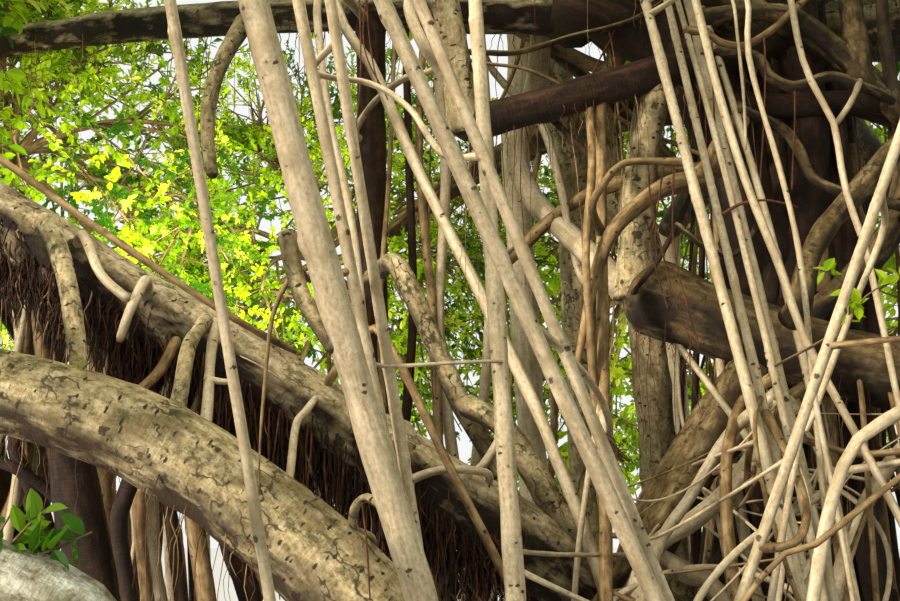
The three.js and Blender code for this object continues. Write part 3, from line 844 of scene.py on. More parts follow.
@dataclass(frozen=True)
class Bough:
    """One tapering limb, from start to end or to the mass that it carries."""

    name: str
    start: Point
    bow: Point
    radii: Pair
    end: Point | None = None
    carries: str | None = None
    bark: Bark = Bark.BOUGH
    hairs: float = 0.0  # hanging hair roots for each metre
    collar_swell: float = 0.3
    broken_start: bool = False  # a rounded stub that stands free, and not inside the parent limb
    steps: Pair = (0.034, 0.07)  # the mesh's steps in metres, fine and coarse
    knots_per_metre: float = 5

    def curve(self) -> Arc:
        """The limb's middle."""
        end = self.end if self.end is not None else MASSES[self.carries].tip_from(self.start)
        return Arc(self.start, tuple(end), self.bow)

    def build(self, seed: int) -> None:
        """Builds the limb with its bark and puts it in place of its node.

        Args:
            seed: Which limb it is.
        """
        curve = self.curve()
        length = curve.length()
        stub = 0.9 * self.radii[0] if self.broken_start else 0

        def radius_at(share: Array, _angle: Array) -> Array:
            """Taper, the collar at the parent limb, and the round ends."""
            ends = rounding((1 - share) * length, 0.8 * self.radii[1]) * rounding(share * length, stub)
            return mix(*self.radii, share) * swelling(share * length, self.collar_swell, 2 * self.radii[0]) * ends

        # A shaded limb that ends in the crown is far behind its leaves and needs no fine relief
        step = self.steps[1] if self.bark is Bark.SHADED_BOUGH and self.carries else self.steps[0]
        sides = int(max(20, 2 * math.pi * max(self.radii) / step))
        path = curve.points(np.linspace(0, 1, int(length / step) + 1))
        relief = Relief(knots=int(self.knots_per_metre * length), knot_height=0.2)
        mesh = limb_mesh(self.name, path, radius_at, sides, relief, seed, path[0, 2] < 0)
        add_piece(f"{self.name}_bark", mesh, [self.bark], [self.name])


@dataclass(frozen=True)
class Strand:
    """One prop root of a pillar, by where it leaves the bough."""

    at: float
    radii: Pair
    bow: Point = (0.0, 0.0, 0.0)


@dataclass(frozen=True)
class Pillar:
    """Prop roots that run together from a bough to one foot on the ground."""

    name: str
    bough: str
    foot: Pair
    strands: tuple[Strand, ...]
    bark: Bark = Bark.ROOT
    foot_swell: float = 0.6
    foot_reach: float = 0.3
    foot_depth: float = 0.2
    collar_swell: float = 0.5
    knots_per_metre: float = 3

    def curve(self, strand: Strand) -> Arc:
        """A strand's middle, which runs on below the ground.

        Args:
            strand: The strand.
        Returns:
            Its middle.
        """
        top = BOUGHS[self.bough].curve().point(strand.at)
        ground = np.array([*self.foot, 0.0])
        return Arc(tuple(top), tuple(ground + unit(ground - top) * self.foot_depth), strand.bow)

    def build(self, seed: int) -> None:
        """Builds the strands with their bark and puts them in place of the node.

        Args:
            seed: Which pillar it is.
        """
        for n, strand in enumerate(self.strands):
            curve = self.curve(strand)
            length = curve.length()

            def radius_at(share: Array, _angle: Array) -> Array:
                """Taper, the spread foot, and the collar under the bough."""
                foot = swelling((1 - share) * length, self.foot_swell, self.foot_reach)
                return mix(*strand.radii, share) * foot * swelling(share * length, self.collar_swell, 0.12)

            thick = max(strand.radii)
            step = min(0.036, thick * 0.6)
            sides = int(np.clip(2 * math.pi * thick / 0.013, 10, 32))
            path = curve.points(np.linspace(0, 1, int(length / step) + 1))
            relief = Relief(
                lumps=0.07, lump_size=0.25, cords=0.02, cord_count=2, rings=0.01,
                knots=int(self.knots_per_metre * length), knot_height=0.3, knot_size=0.55,
            )
            name = self.name if n == 0 else f"{self.name}_strand_{n + 1}"
            mesh = limb_mesh(name, path, radius_at, sides, relief, seed + 40 * n, ground=True)
            add_piece(f"{name}_bark", mesh, [self.bark], [self.name])


# The barks that are named most from here on; SHADE and DARK are darker barks, painted shade, for the limbs and roots
# that stand in shade
SHADE, TAN, DARK = Bark.SHADED_BOUGH, Bark.TAN_ROOT, Bark.TRUNK
BOUGHS = {bough.name: bough for bough in (
    Bough("low_west_stem", (-1.72, -2.25, -0.3), (0.16, -0.03, 0.52), (0.28, 0.205), end=(-4.75, -2.1, 2.27),
        hairs=22),
    Bough("low_west_stem_reach", (-4.62, -2.1, 2.24), (-0.35, 0.1, -0.35), (0.17, 0.11), carries="rim_7"),
    Bough("west_bough", (-0.1, -0.2, 0.38), (0, -0.65, 0), (0.24, 0.19), end=(-6.6, -0.85, 4.35), carries="rim_6",
        bark=Bark.STAINED_SHADED_BOUGH, hairs=20),
    Bough("north_west_bough", (-0.1, 0.1, 5.1), (0.05, -0.7, -0.08), (0.15, 0.12), end=(-6.4, 1.9, 5.7),
        carries="rim_5", bark=Bark.STAINED_SHADED_BOUGH, hairs=16),
    Bough("front_west_bough", (-0.05, -0.1, 4.9), (-0.35, 0.2, 0.25), (0.2, 0.1), end=(-4.35, -5, 6.25),
        carries="rim_8", hairs=10),
    Bough("front_bough", (0.05, -0.1, 5.2), (0.8, 0.1, 0.35), (0.18, 0.1), carries="rim_9", bark=SHADE, hairs=8),
    Bough("front_east_bough", (0.1, -0.1, 5.4), (0.5, 0, 0.3), (0.16, 0.09), carries="rim_10", bark=SHADE),
    Bough("east_bough", (0.05, 0, 5), (0, -0.3, 0.25), (0.17, 0.1), carries="rim_0", hairs=10),
    Bough("low_east_bough", (-1.18, -0.62, 3.08), (-0.1, -0.05, -0.22), (0.2, 0.25), end=(2.5, -1.35, 2.2), bark=SHADE,
        hairs=40, broken_start=True),
    Bough("low_east_bough_reach", (2.4, -1.32, 2.2), (0.3, -0.1, -0.4), (0.21, 0.11), carries="rim_11", hairs=8),
    Bough("hoop_bough", (-0.15, -0.45, 4.95), (0.8, -0.05, 0.1), (0.075, 0.09), end=(-0.05, -0.75, 2.85), bark=SHADE),
    Bough("north_east_bough", (0.1, 0.1, 5), (0, 0, 0.45), (0.18, 0.1), carries="rim_1", bark=SHADE, hairs=8),
    Bough("back_east_bough", (0.05, 0.1, 4.7), (0, 0, 0.4), (0.17, 0.1), carries="rim_2", bark=SHADE, hairs=8),
    Bough("back_bough", (0, 0.1, 4.2), (0, 0, 0.3), (0.18, 0.1), carries="rim_3", bark=SHADE, hairs=8),
    Bough("back_west_bough", (-0.05, 0.1, 4.6), (0, 0.1, 0.4), (0.17, 0.1), carries="rim_4", bark=SHADE, hairs=8),
    Bough("crown_leader", (0.03, 0.1, 5.3), (0.1, 0, 0), (0.22, 0.12), carries="top", bark=SHADE),
    Bough("elbow_bough", (0.1, -0.25, 4.95), (0, -0.1, -0.05), (0.13, 0.1), end=(-2.3, -1.2, 3.95), bark=DARK,
        hairs=40),
    Bough("elbow_bough_riser", (-2.22, -1.17, 3.93), (0.15, 0, 0.1), (0.09, 0.06), carries="shoulder_0"),
    Bough("link_stem", (-1.1, -0.62, 3), (-0.06, 0, 0), (0.12, 0.1), end=(-0.95, -0.77, 4.48)),
    Bough("shoulder_bough_front", (0.05, 0, 5.5), (0, 0, 0.2), (0.15, 0.08), carries="shoulder_1", bark=SHADE),
    Bough("shoulder_bough_east", (0.1, 0.1, 5.5), (0, 0, 0.2), (0.15, 0.08), carries="shoulder_2", bark=SHADE),
    Bough("shoulder_bough_back", (0.05, 0.2, 5.5), (0, 0, 0.2), (0.15, 0.08), carries="shoulder_3", bark=SHADE),
    Bough("shoulder_bough_west", (-0.05, 0.15, 5.5), (0, 0, 0.2), (0.15, 0.08), carries="shoulder_4", bark=SHADE),
)}

FRONT_WEST = "front_west_bough"
PILLARS = (
    Pillar("great_pillar", FRONT_WEST, (-2, -2.8), (Strand(0.79, (0.06, 0.075), (-0.12, 0, 0)),)),
    Pillar("slanting_pillar", FRONT_WEST, (-0.82, -2.62), (Strand(0.79, (0.034, 0.04)), Strand(0.69, (0.028, 0.03)))),
    Pillar("upright_pillar", FRONT_WEST, (-1.93, -2.55), (Strand(0.432, (0.03, 0.055)),)),
    Pillar("slender_pillar", FRONT_WEST, (-2.84, -2.95), (Strand(0.846, (0.024, 0.024)),)),
    Pillar("twin_pillars", FRONT_WEST, (-2.22, -2.38), (Strand(0.72, (0.028, 0.028)), Strand(0.66, (0.025, 0.03)))),
    Pillar("bundled_pillars", FRONT_WEST, (-0.36, -2.4), (Strand(0.207, (0.03, 0.032)), Strand(0.165, (0.022, 0.03)),
        Strand(0.15, (0.018, 0.025), (0.06, -0.05, 0)))),
    Pillar("crossed_pillars", FRONT_WEST, (-0.22, -2.3), (Strand(0.127, (0.03, 0.035)), Strand(0.11, (0.022, 0.026),
        (0.12, -0.03, 0)))),
    Pillar("counter_pillar", "front_bough", (-1.4, -2.35), (Strand(0.5, (0.025, 0.028)),)),
    Pillar("banded_pillar", "elbow_bough", (-1.48, -1.6), (Strand(0.608, (0.035, 0.04)),), TAN),
    Pillar("shaded_pillar", "north_west_bough", (-2.8, 0.2), (Strand(0.452, (0.1, 0.12)),), DARK),
    Pillar("shaggy_pillar", "west_bough", (-4.3, -0.9), (Strand(0.66, (0.06, 0.12)), Strand(0.73, (0.04, 0.09))), TAN),
    Pillar("under_stem_pillar", "low_west_stem", (-3.3, -2.05), (Strand(0.68, (0.045, 0.06)),), TAN),
    Pillar("slab_prop", "low_east_bough", (-2, -1.1), (Strand(0.246, (0.12, 0.15)), Strand(0.38, (0.05, 0.08),
        (-0.1, 0, 0.35))), SHADE),
    Pillar("bent_prop", "low_east_bough", (-0.3, -1.5), (Strand(0.6, (0.04, 0.05), (-0.28, 0, 0.5)),)),
    Pillar("east_pillar", "low_east_bough", (2.9, -1.5), (Strand(0.95, (0.12, 0.2)), Strand(0.82, (0.06, 0.08),
        (-0.1, 0, 0)))),
    Pillar("far_east_pillar", "east_bough", (4.6, 0.1), (Strand(0.8, (0.08, 0.13)),)),
    Pillar("north_east_pillar", "north_east_bough", (3.9, 2.6), (Strand(0.72, (0.09, 0.15)),)),
    Pillar("back_pillar", "back_bough", (0.1, 4.5), (Strand(0.72, (0.09, 0.15)),)),
)


@dataclass(frozen=True)
class Trunk:
    """A flared foot with lobes, then a column of fused stems, with old roots grown on to it."""

    height: float = 5.7
    lean: Pair = (0.05, 0.15)
    bow: Point = (0.04, 0, 0)
    radii: Pair = (0.6, 0.4)
    flare_reach: float = 0.45
    flare_height: float = 0.5
    flare_lobes: int = 6
    flare_depth: float = 0.22
    flutes: int = 4
    flute_depth: float = 0.08
    sides: int = 120
    steps: int = 150
    embracing: int = 34  # old roots that run down its sides
    embracing_steps: int = 48
    embracing_radii: Pair = (0.028, 0.075)
    embracing_tan: float = 0.25  # the share of them with a tan bark

    def curve(self) -> Arc:
        """The trunk's middle."""
        return Arc((0, 0, 0), (*self.lean, self.height), self.bow)

    def radius_at(self, share: Array, angle: Array) -> Array:
        """The source's radius.

        Args:
            share: The share of the height.
            angle: The angle round the trunk.
        Returns:
            The radius in metres.
        """
        height = self.height * share
        foot = np.exp(-height / self.flare_height)
        lobes = 1 + self.flare_depth * foot * np.cos(self.flare_lobes * angle)
        flutes = 1 + self.flute_depth * np.cos(self.flutes * angle + height)
        return (mix(*self.radii, share) + self.flare_reach * foot) * lobes * flutes

    def build(self) -> None:
        """Builds the column and the roots that embrace it."""
        path = self.curve().points(np.linspace(0, 1, self.steps + 1))
        relief = Relief(lumps=0.1, lump_size=0.5, cords=0.07, cord_count=11, rings=0.006, knots=40, knot_height=0.12)
        mesh = limb_mesh("trunk", path, self.radius_at, self.sides, relief, 5, ground=True)
        add_piece("trunk_bark_column", mesh, [DARK], ["trunk"])
        mesh = self.embracing_roots(path)
        add_piece("trunk_embracing_roots", mesh, [DARK, TAN])

    def embracing_roots(self, path: Array) -> bpy.types.Mesh:
        """Old roots that run down the trunk's sides, half sunk in them.

        Args:
            path: The trunk's middle.
        Returns:
            Their mesh.
        """
        heap = Heap()
        draw = np.random.default_rng(71)
        paths, radii, kinds = [], [], []
        right, out = (side[0] for side in frames(path[None]))
        for n in range(self.embracing):
            turn = 2 * math.pi * (n + draw.uniform(-0.35, 0.35)) / self.embracing
            high, low = draw.uniform(0.6, 0.97), draw.choice([0.0, 0.0, 0.0, draw.uniform(0.1, 0.3)])
            share = np.linspace(high, low, self.embracing_steps)
            sway = draw.uniform(-0.7, 0.7) * (high - share) + 0.14 * np.sin(share * draw.uniform(6, 12) + n)
            angle = turn + sway
            thick = draw.uniform(*self.embracing_radii) * (1 + 0.7 * np.exp(-share * self.height / 0.3))
            ring = np.rint(share * self.steps).astype(int)
            reach = self.radius_at(share, angle) + thick * 0.25
            across = np.cos(angle)[:, None] * right[ring] + np.sin(angle)[:, None] * out[ring]
            paths.append(path[ring] + across * reach[:, None])
            radii.append(thick * (1 + 0.12 * np.sin(share * 37 + n)))
            kinds.append(int(draw.uniform() < self.embracing_tan))
        heap.add_tubes(np.array(paths), np.array(radii), 12, np.array(kinds))
        return heap.build("trunk_embracing_roots", True)


# ---- loose roots ----


class Joint(Enum):
    """What an end of a root is grown on to."""

    ABOVE = "the nearest limb above it"
    NEAR = "the nearest limb"
    GROUND = "the ground"
    NAMED = "a bough that its track names, with a share of the way along it"
    FREE = "nothing: it is a stub"


class Limbs:
    """Every limb's middle in even steps, for growing roots on to."""

    def __init__(self) -> None:
        """Samples the trunk, the boughs and the pillars."""
        shares = np.linspace(0, 1, 61)
        curves = [(bough.curve(), bough.radii) for bough in BOUGHS.values()]
        curves += [(pillar.curve(strand), strand.radii) for pillar in PILLARS for strand in pillar.strands]
        trunk = Trunk()
        curves.append((trunk.curve(), trunk.radii))
        self.places = np.concatenate([curve.points(shares) for curve, _ in curves])
        self.radii = np.concatenate([mix(*radii, shares) for _, radii in curves])

    def nearest(self, place: Array, above: bool, way: Array | None = None) -> Array:
        """The middle of the nearest limb, or of the nearest that is higher.

        Args:
            place: Where from.
            above: Whether it has to be higher; then how far aside it is counts most.
            way: The direction that a root runs in there. Limbs ahead of it count as nearer.
        Returns:
            The place on the limb's middle.
        """
        off = self.places - place
        far = norm(off, axis=1)
        if way is not None:
            far = np.maximum(far, 0.12) ** 2 * (1.3 - unit(off) @ unit(way))
        if above:
            far = 3 * norm(off[:, :2], axis=1) + np.abs(off[:, 2]) + 9 * (off[:, 2] < 0.15)
        return self.places[int(np.argmin(far))]


# Pixel column, row and depth, or a bough's name and the share of the way along it
Track = tuple[Triple | tuple[str, float], ...]


def level(depth: float, *pixels: Pair) -> Track:
    """A track whose places all lie at one depth."""
    return tuple((u, v, depth) for u, v in pixels)


DIRECT_REACH = 0.3  # how far a root's end may be from its limb and still go straight to it
LONGEST_BEND = 1.2  # the longest way that counts for how far it runs on before it bends
FURTHEST_FOOT = 0.9  # how far aside of its last seen place a root may reach the ground, along X and Y
GROUND_DEPTH = -0.02  # feet end a little below the ground, where their tubes are cut flat


@dataclass(frozen=True)
class Root:
    """A root that the photograph shows, by its track, with its width in pixels at both ends."""

    track: Track
    first_width: float
    last_width: float
    start: Joint = Joint.NEAR
    end: Joint = Joint.NEAR
    bark: Bark = Bark.ROOT

    def path(self, limbs: Limbs) -> Array:
        """The places that it passes, from what holds its start to what holds its end.

        Args:
            limbs: What it grows on to.
        Returns:
            The places, one a row.
        """
        places = [
            BOUGHS[step[0]].curve().point(step[1]) if isinstance(step[0], str) else seen(*step)
            for step in self.track
        ]
        for index, joint in ((0, self.start), (-1, self.end)):
            end = places[index]
            before = places[1 if index == 0 else -2]
            if joint in (Joint.ABOVE, Joint.NEAR):
                held = limbs.nearest(end, joint is Joint.ABOVE, end - before)
                far = norm(held - end)
                if far > DIRECT_REACH:
                    # It runs on in its own direction before it bends to the limb
                    bend = end + unit(end - before) * 0.4 * min(far, LONGEST_BEND)
                    places.insert(0 if index == 0 else len(places), mix(bend, mix(end, held, 0.5), 0.35))
            elif joint is Joint.GROUND:
                way = end - before
                slope = way[:2] / max(abs(way[2]), 0.3)
                aside = np.clip(slope * end[2], -FURTHEST_FOOT, FURTHEST_FOOT)
                held = np.array([*(end[:2] + aside), GROUND_DEPTH])
            else:
                continue
            places.insert(0 if index == 0 else len(places), held)
        return np.array(places)

    def radii(self) -> Pair:
        """Its radii.

        Returns:
            The radii at its first and last seen places, in metres.
        """
        named = isinstance(self.track[0][0], str)
        depths = (self.track[int(named)][2] - EYE[1], self.track[-1][2] - EYE[1])
        widths = (self.first_width, self.last_width)
        return tuple(width / 2 * depth / FOCAL_PIXELS for width, depth in zip(widths, depths))


ABOVE, NEAR, GROUND, NAMED, FREE = Joint.ABOVE, Joint.NEAR, Joint.GROUND, Joint.NAMED, Joint.FREE
SEEN_ROOTS = (
    # Short limbs, stubs and stems on the left, between the west bough and the low stem
    Root(((240, 30, 0.4), (222, 62, 0.3), (210, 100, 0.3), (208, 140, 0.3), (213, 178, 0.3)), 20, 13, NEAR, FREE,
        Bark.BOUGH),
    Root(((52, 228, -1.5), (64, 262, -1.75), (72, 300, -1.9), (78, 350, -2)), 24, 18, bark=Bark.BOUGH),
    Root(((86, 244, -1.6), (100, 275, -1.8), (128, 300, -1.85)), 12, 9, NEAR, FREE),
    Root(((134, 302, -1.8), (127, 318, -1.85), (119, 342, -1.85)), 13, 9, NEAR, FREE),
    Root(((200, 332, -1.7), (188, 352, -1.9), (180, 396, -2)), 13, 17, bark=Bark.BOUGH),
    Root(((213, 330, -1.6), (209, 360, -1.8), (206, 412, -2)), 9, 12),
    Root(((176, 340, -1.4), (160, 368, -1.5), (140, 388, -1.7)), 12, 10, bark=TAN),
    Root(level(-1.9, (204, 378), (222, 380), (232, 382)), 8, 6, FREE, FREE),
    Root(((307, 408, -1.6), (297, 422, -1.7), (291, 470, -1.9)), 7, 9),
    Root(((-20, 145, -2), (0, 157, -2), (100, 228, -2), (200, 296, -1.9), (255, 330, -1.75), (296, 352, -1.45)), 8, 7,
        ABOVE, FREE, TAN),
    Root(((0, 305, -0.6), (20, 338, -0.6), (42, 372, -0.8)), 16, 14, bark=DARK),
    # Stems below the low stem
    Root(((70, 440, -1.7), (80, 500, -1.6), (92, 560, -1.5), (98, 600, -1.5)), 40, 56, NEAR, GROUND, DARK),
    Root(level(-1.2, (16, 440), (35, 490), (48, 520), (60, 600)), 16, 14, NEAR, GROUND, DARK),
    Root(((132, 478, -1.9), (124, 500, -1.9), (118, 530, -1.8), (128, 600, -1.7)), 20, 14, NEAR, GROUND, DARK),
    Root(((144, 470, -1.6), (142, 520, -1.6), (150, 600, -1.5)), 12, 16, NEAR, GROUND, TAN),
    Root(level(-1.5, (166, 480), (172, 540), (180, 600)), 12, 14, NEAR, GROUND, DARK),
    Root(level(-1.4, (188, 480), (191, 540), (193, 600)), 14, 16, NEAR, GROUND, SHADE),
    Root(level(-1.3, (207, 480), (209, 540), (211, 600)), 11, 12, NEAR, GROUND),
    Root(level(-1.1, (218, 500), (236, 560), (250, 600)), 20, 26, NEAR, GROUND, DARK),
    Root(level(-0.9, (-40, 380), (-20, 460), (0, 540), (10, 620)), 50, 60, NEAR, GROUND, DARK),
    Root(level(0.3, (40, 400), (30, 470), (24, 540), (20, 620)), 40, 50, NEAR, GROUND, SHADE),
    Root(((-10, 455, -1.6), (22, 470, -1.6), (60, 500, -1.5), (110, 560, -1.5), (120, 610, -1.5)), 12, 12, NEAR,
        GROUND, DARK),
    Root(level(0.2, (150, 440), (140, 520), (128, 620)), 40, 50, NEAR, GROUND, DARK),
    # A low root with lichen in the near corner
    Root((("low_west_stem_reach", 0.3), (-230, 400, -4), (-90, 548, -4.4), (0, 588, -4.5), (70, 616, -4.5),
        (120, 690, -4.5)), 70, 84, NAMED, GROUND, Bark.LICHEN_ROOT),
    # Thin poles and loops left of the middle
    Root(level(-1, (318, 0), (322, 60), (332, 130), (350, 210), (362, 300), (372, 420)), 9, 8, ABOVE, GROUND),
    Root(((333, 0, -0.6), (348, 34, -0.6), (368, 60, -0.6), (392, 112, -0.6), (420, 175, -0.7), (478, 290, -0.9),
        (534, 405, -1.1), (552, 450, -1.15), (576, 509, -1.2), (604, 590, -1.2)), 11, 14, ABOVE, GROUND),
    Root(((330, 78, -2.42), (360, 82, -2.3), (385, 92, -2.3), (410, 112, -2.4), (430, 142, -2.6)), 7, 7),
    Root(((356, 133, 0.1), (368, 110, 0), (385, 92, -0.3), (408, 76, -0.6), (432, 70, -0.9), (456, 56, -1.1)), 7, 7),
    Root(((413, 0, -1.3), (428, 40, -1.3), (444, 66, -1.2), (470, 120, -1.1)), 14, 12, ABOVE, NEAR),
    Root(((372, 545, -2.2), (354, 532, -2.3), (354, 512, -2.35), (366, 500, -2.4), (384, 508, -2.5)), 9, 9,
        bark=Bark.BOUGH),
    Root(((258, 500, -3), (256, 420, -3.05), (262, 330, -3.1), (272, 296, -3.1), (284, 276, -3.1), (296, 268, -3.05),
        (308, 278, -2.95)), 1.5, 7, FREE, NEAR, TAN),
    Root(((287, 230, -3.2), (291, 262, -3.2), (303, 300, -3.22), (334, 352, -3.22)), 20, 14, FREE, FREE, Bark.BOUGH),
    Root(level(-0.9, (400, 490), (440, 490), (480, 470), (500, 440), (508, 424)), 9, 9, NEAR, FREE),
    Root(((388, 367, -2.7), (430, 366, -2.68), (496, 363, -2.6)), 4, 4),
    # The fan of limbs and the arches in the middle
    Root(((470, -10, 0.5), (484, 6, 0.5), (520, 28, 0.5), (560, 48, 0.4), (598, 66, 0.3)), 17, 15, bark=TAN),
    Root(((500, -20, 0.3), (548, 10, 0.3), (585, 30, 0.2), (616, 50, 0.1)), 17, 14, bark=Bark.BOUGH),
    Root(((545, -20, 0.1), (580, 2, 0.1), (604, 20, 0), (630, 44, -0.1)), 14, 14, bark=SHADE),
    Root(((497, 8, 0.8), (530, 36, 0.8), (566, 62, 0.8), (600, 90, 0.8), (640, 128, 0.8), (680, 170, 0.7)), 13, 15,
        bark=SHADE),
    # Old stems that lean out from the trunk's left side, in deep shade, which their dark bark paints
    Root(((760, 240, -0.25), (720, 130, -0.3), (690, 50, -0.3), (664, -10, -0.3)), 66, 70, bark=DARK),
    Root(((740, 150, -0.2), (690, 70, -0.2), (640, 34, -0.25), (600, 14, -0.3)), 64, 50, bark=DARK),
    Root(((790, 330, -0.35), (800, 240, -0.3), (806, 150, -0.3), (800, 60, -0.3), (790, -10, -0.3)), 44, 50,
        bark=DARK),
    Root(((740, 104, -0.45), (800, 108, -0.45), (850, 104, -0.5), (910, 120, -0.5)), 30, 24, bark=DARK),
    # A pale spindle of a limb and the slab that it widens into
    Root(((530, 112, 0.6), (518, 158, 0.6), (536, 202, 0.5), (570, 236, 0.2), (600, 264, -0.3), (618, 282, -0.5)), 22,
        26),
    Root(((487, 54, -0.6), (515, 54, -0.6), (545, 46, -0.6), (570, 38, -0.6), (604, 30, -0.5)), 7, 6, bark=SHADE),
    Root(((488, 62, -0.7), (530, 68, -0.7), (580, 92, -0.7), (640, 126, -0.7), (700, 152, -0.6)), 4, 4, bark=TAN),
    Root(level(-0.9, (528, 100), (560, 128), (594, 162)), 7, 7, bark=DARK),
    Root(((604, 182, -1.5), (614, 170, -1.5), (630, 163, -1.5), (680, 162, -1.4)), 9, 7, bark=TAN),
    Root(((576, 372, -1.25), (588, 310, -1.25), (600, 262, -1.2), (614, 230, -1.2), (640, 204, -1.2), (668, 186, -1.1),
        (700, 178, -0.9)), 6, 26, FREE, NEAR, TAN),
    Root(((496, 270, 0.3), (522, 248, 0.3), (545, 226, 0.3), (572, 206, 0.3), (600, 192, 0.2), (650, 176, 0),
        (700, 170, -0.2)), 14, 14, FREE, NEAR, TAN),
    Root(level(2, (518, 95), (514, 140), (516, 200), (522, 300)), 26, 30, ABOVE, GROUND),
    Root(level(1.2, (560, 110), (572, 170), (575, 240), (580, 330)), 34, 40, ABOVE, GROUND, Bark.BOUGH),
    Root(level(0.9, (600, 110), (616, 200), (640, 260), (648, 340)), 30, 44, ABOVE, GROUND, Bark.BOUGH),
    Root(((596, 420, -1.2), (590, 330, -1.3), (586, 250, -1.3), (592, 170, -1.2), (590, 120, -1.02), (588, 92, -0.92)),
        9, 8, GROUND, FREE, TAN),
    Root(((572, 240, 0.2), (560, 180, 0.2), (540, 120, 0.3), (505, 84, 0.4)), 9, 8),
    # Roots that hang and cross in front of the trunk
    Root(level(-1.7, (732, 0), (738, 40), (744, 100), (746, 150)), 4, 3, ABOVE, FREE),
    Root(level(-1.8, (748, 0), (748, 48), (760, 100), (778, 160), (796, 232), (806, 300), (815, 400)), 6, 6, ABOVE,
        GROUND),
    Root(level(-1.5, (782, -40), (794, 10), (803, 55), (818, 92), (836, 124), (848, 190), (868, 250), (884, 320),
        (900, 400)), 7, 7, ABOVE, GROUND),
    Root(((864, 70, -0.8), (850, 102, -1.3), (836, 124, -1.45)), 7, 6, FREE, FREE),
    Root(((676, 223, -1.05), (690, 236, -1.1), (708, 250, -1.1), (735, 258, -1.05), (752, 240, -0.8)), 6, 6, FREE,
        NEAR, SHADE),
    Root(((742, 206, -1.42), (768, 203, -1.46), (798, 207, -1.46)), 3.5, 2, NEAR, FREE, Bark.HAIR),
    Root(((634, 290, -0.85), (655, 262, -1.05), (672, 232, -1.05), (684, 208, -1), (698, 180, -0.9)), 5, 6, NEAR, FREE,
        DARK),
    # Heavy limbs at the top right, round a gap
    Root(((752, 12, -0.8), (790, 14, -0.9), (820, 34, -0.9), (850, 62, -0.9), (876, 92, -0.9), (905, 118, -0.8)), 17,
        26, bark=SHADE),
    Root(((800, 300, -1.5), (806, 262, -1.4), (822, 226, -1.3), (850, 192, -1.2), (880, 158, -1.1), (910, 130, -1)),
        22, 24, bark=SHADE),
    Root(((846, -10, -0.7), (852, 40, -0.8), (858, 80, -0.9)), 24, 30, ABOVE, NEAR, SHADE),
    Root(level(-0.9, (880, -10), (884, 40), (892, 90)), 14, 14, ABOVE, NEAR, SHADE),
    Root(((756, 56, -0.9), (770, 76, -0.95), (795, 86, -1), (830, 76, -1), (856, 84, -1)), 11, 12, bark=SHADE),
    Root(((800, 150, -0.8), (812, 176, -0.9), (836, 190, -1), (862, 196, -1), (900, 206, -1)), 12, 10, bark=SHADE),
    Root(level(-1, (706, 32), (722, 42), (745, 44), (770, 30), (790, 12)), 8, 8, bark=TAN),
    # Roots at the lower right
    Root(((1060, 320, -3), (985, 368, -3.3), (900, 417, -3.5), (862, 440, -3.5), (842, 474, -3.5), (826, 530, -3.5),
        (814, 600, -3.5)), 13, 13, ABOVE, GROUND),
    Root(((1080, 350, -3.6), (990, 414, -3.9), (900, 482, -4), (825, 542, -4), (749, 601, -4)), 7, 6, ABOVE, GROUND,
        TAN),
    Root(level(-2.2, (876, 255), (858, 300), (836, 360), (812, 426), (800, 456)), 7, 7, ABOVE, GROUND),
    Root(level(-1.9, (664, -120), (700, 20), (720, 100), (748, 190), (780, 270), (800, 330), (826, 382), (858, 440),
        (905, 530)), 9, 8, ABOVE, GROUND),
    Root(((856, 358, -1), (862, 400, -1.22), (866, 450, -1.35), (874, 560, -1.4)), 6, 6, FREE, GROUND, TAN),
    Root(((884, 366, -1), (894, 410, -1.24), (905, 460, -1.4)), 6, 6, FREE, GROUND, TAN),
    Root(level(-0.8, (762, 352), (730, 396), (700, 440), (664, 500), (640, 560)), 44, 52, NEAR, GROUND, SHADE),
    Root(level(-1.5, (744, 420), (722, 446), (690, 500), (668, 532), (652, 572)), 12, 12, NEAR, GROUND),
    Root(level(-1.3, (756, 452), (730, 488), (690, 522), (655, 545), (630, 600)), 18, 22, NEAR, GROUND),
    Root(level(-1.2, (652, 555), (690, 575), (720, 600)), 18, 22, NEAR, GROUND),
    Root(((744, 400, -1.4), (728, 450, -1.6), (727, 520, -1.7), (736, 600, -1.7)), 11, 14, NEAR, GROUND, TAN),
    Root(level(-0.3, (770, 396), (830, 402), (870, 398), (935, 404)), 14, 12, bark=DARK),
    Root(level(-1.5, (790, 432), (830, 446), (860, 452), (905, 450)), 7, 7, bark=TAN),
    # Limbs at the foot of the middle
    Root(((460, 402, -0.62), (500, 425, -0.8), (530, 470, -0.9), (556, 514, -0.9), (592, 560, -0.9), (610, 600, -0.9)),
        24, 30, FREE, GROUND, Bark.BOUGH),
    Root(((410, 290, -0.5), (432, 340, -0.55), (455, 393, -0.6), (470, 420, -0.6), (486, 448, -0.6), (510, 500, -0.6)),
        20, 24, ABOVE, GROUND, Bark.BOUGH),
    Root(level(-1.5, (605, 420), (606, 470), (640, 545), (664, 601)), 10, 14, NEAR, GROUND),
    Root(level(-1.5, (392, 350), (440, 448), (502, 571)), 9, 9, NEAR, GROUND, TAN),
    Root(((392, 506, -1.2), (406, 486, -1.3), (440, 472, -1.3), (478, 472, -1.2)), 9, 8),
    Root(((440, 500, -0.75), (442, 540, -0.5), (446, 620, -0.45)), 28, 36, FREE, GROUND, DARK),
    Root(((482, 528, -0.7), (484, 560, -0.5), (480, 620, -0.5)), 30, 38, FREE, GROUND, DARK),
    Root(((520, 542, -0.6), (524, 570, -0.45), (530, 620, -0.4)), 26, 32, FREE, GROUND, DARK),
)


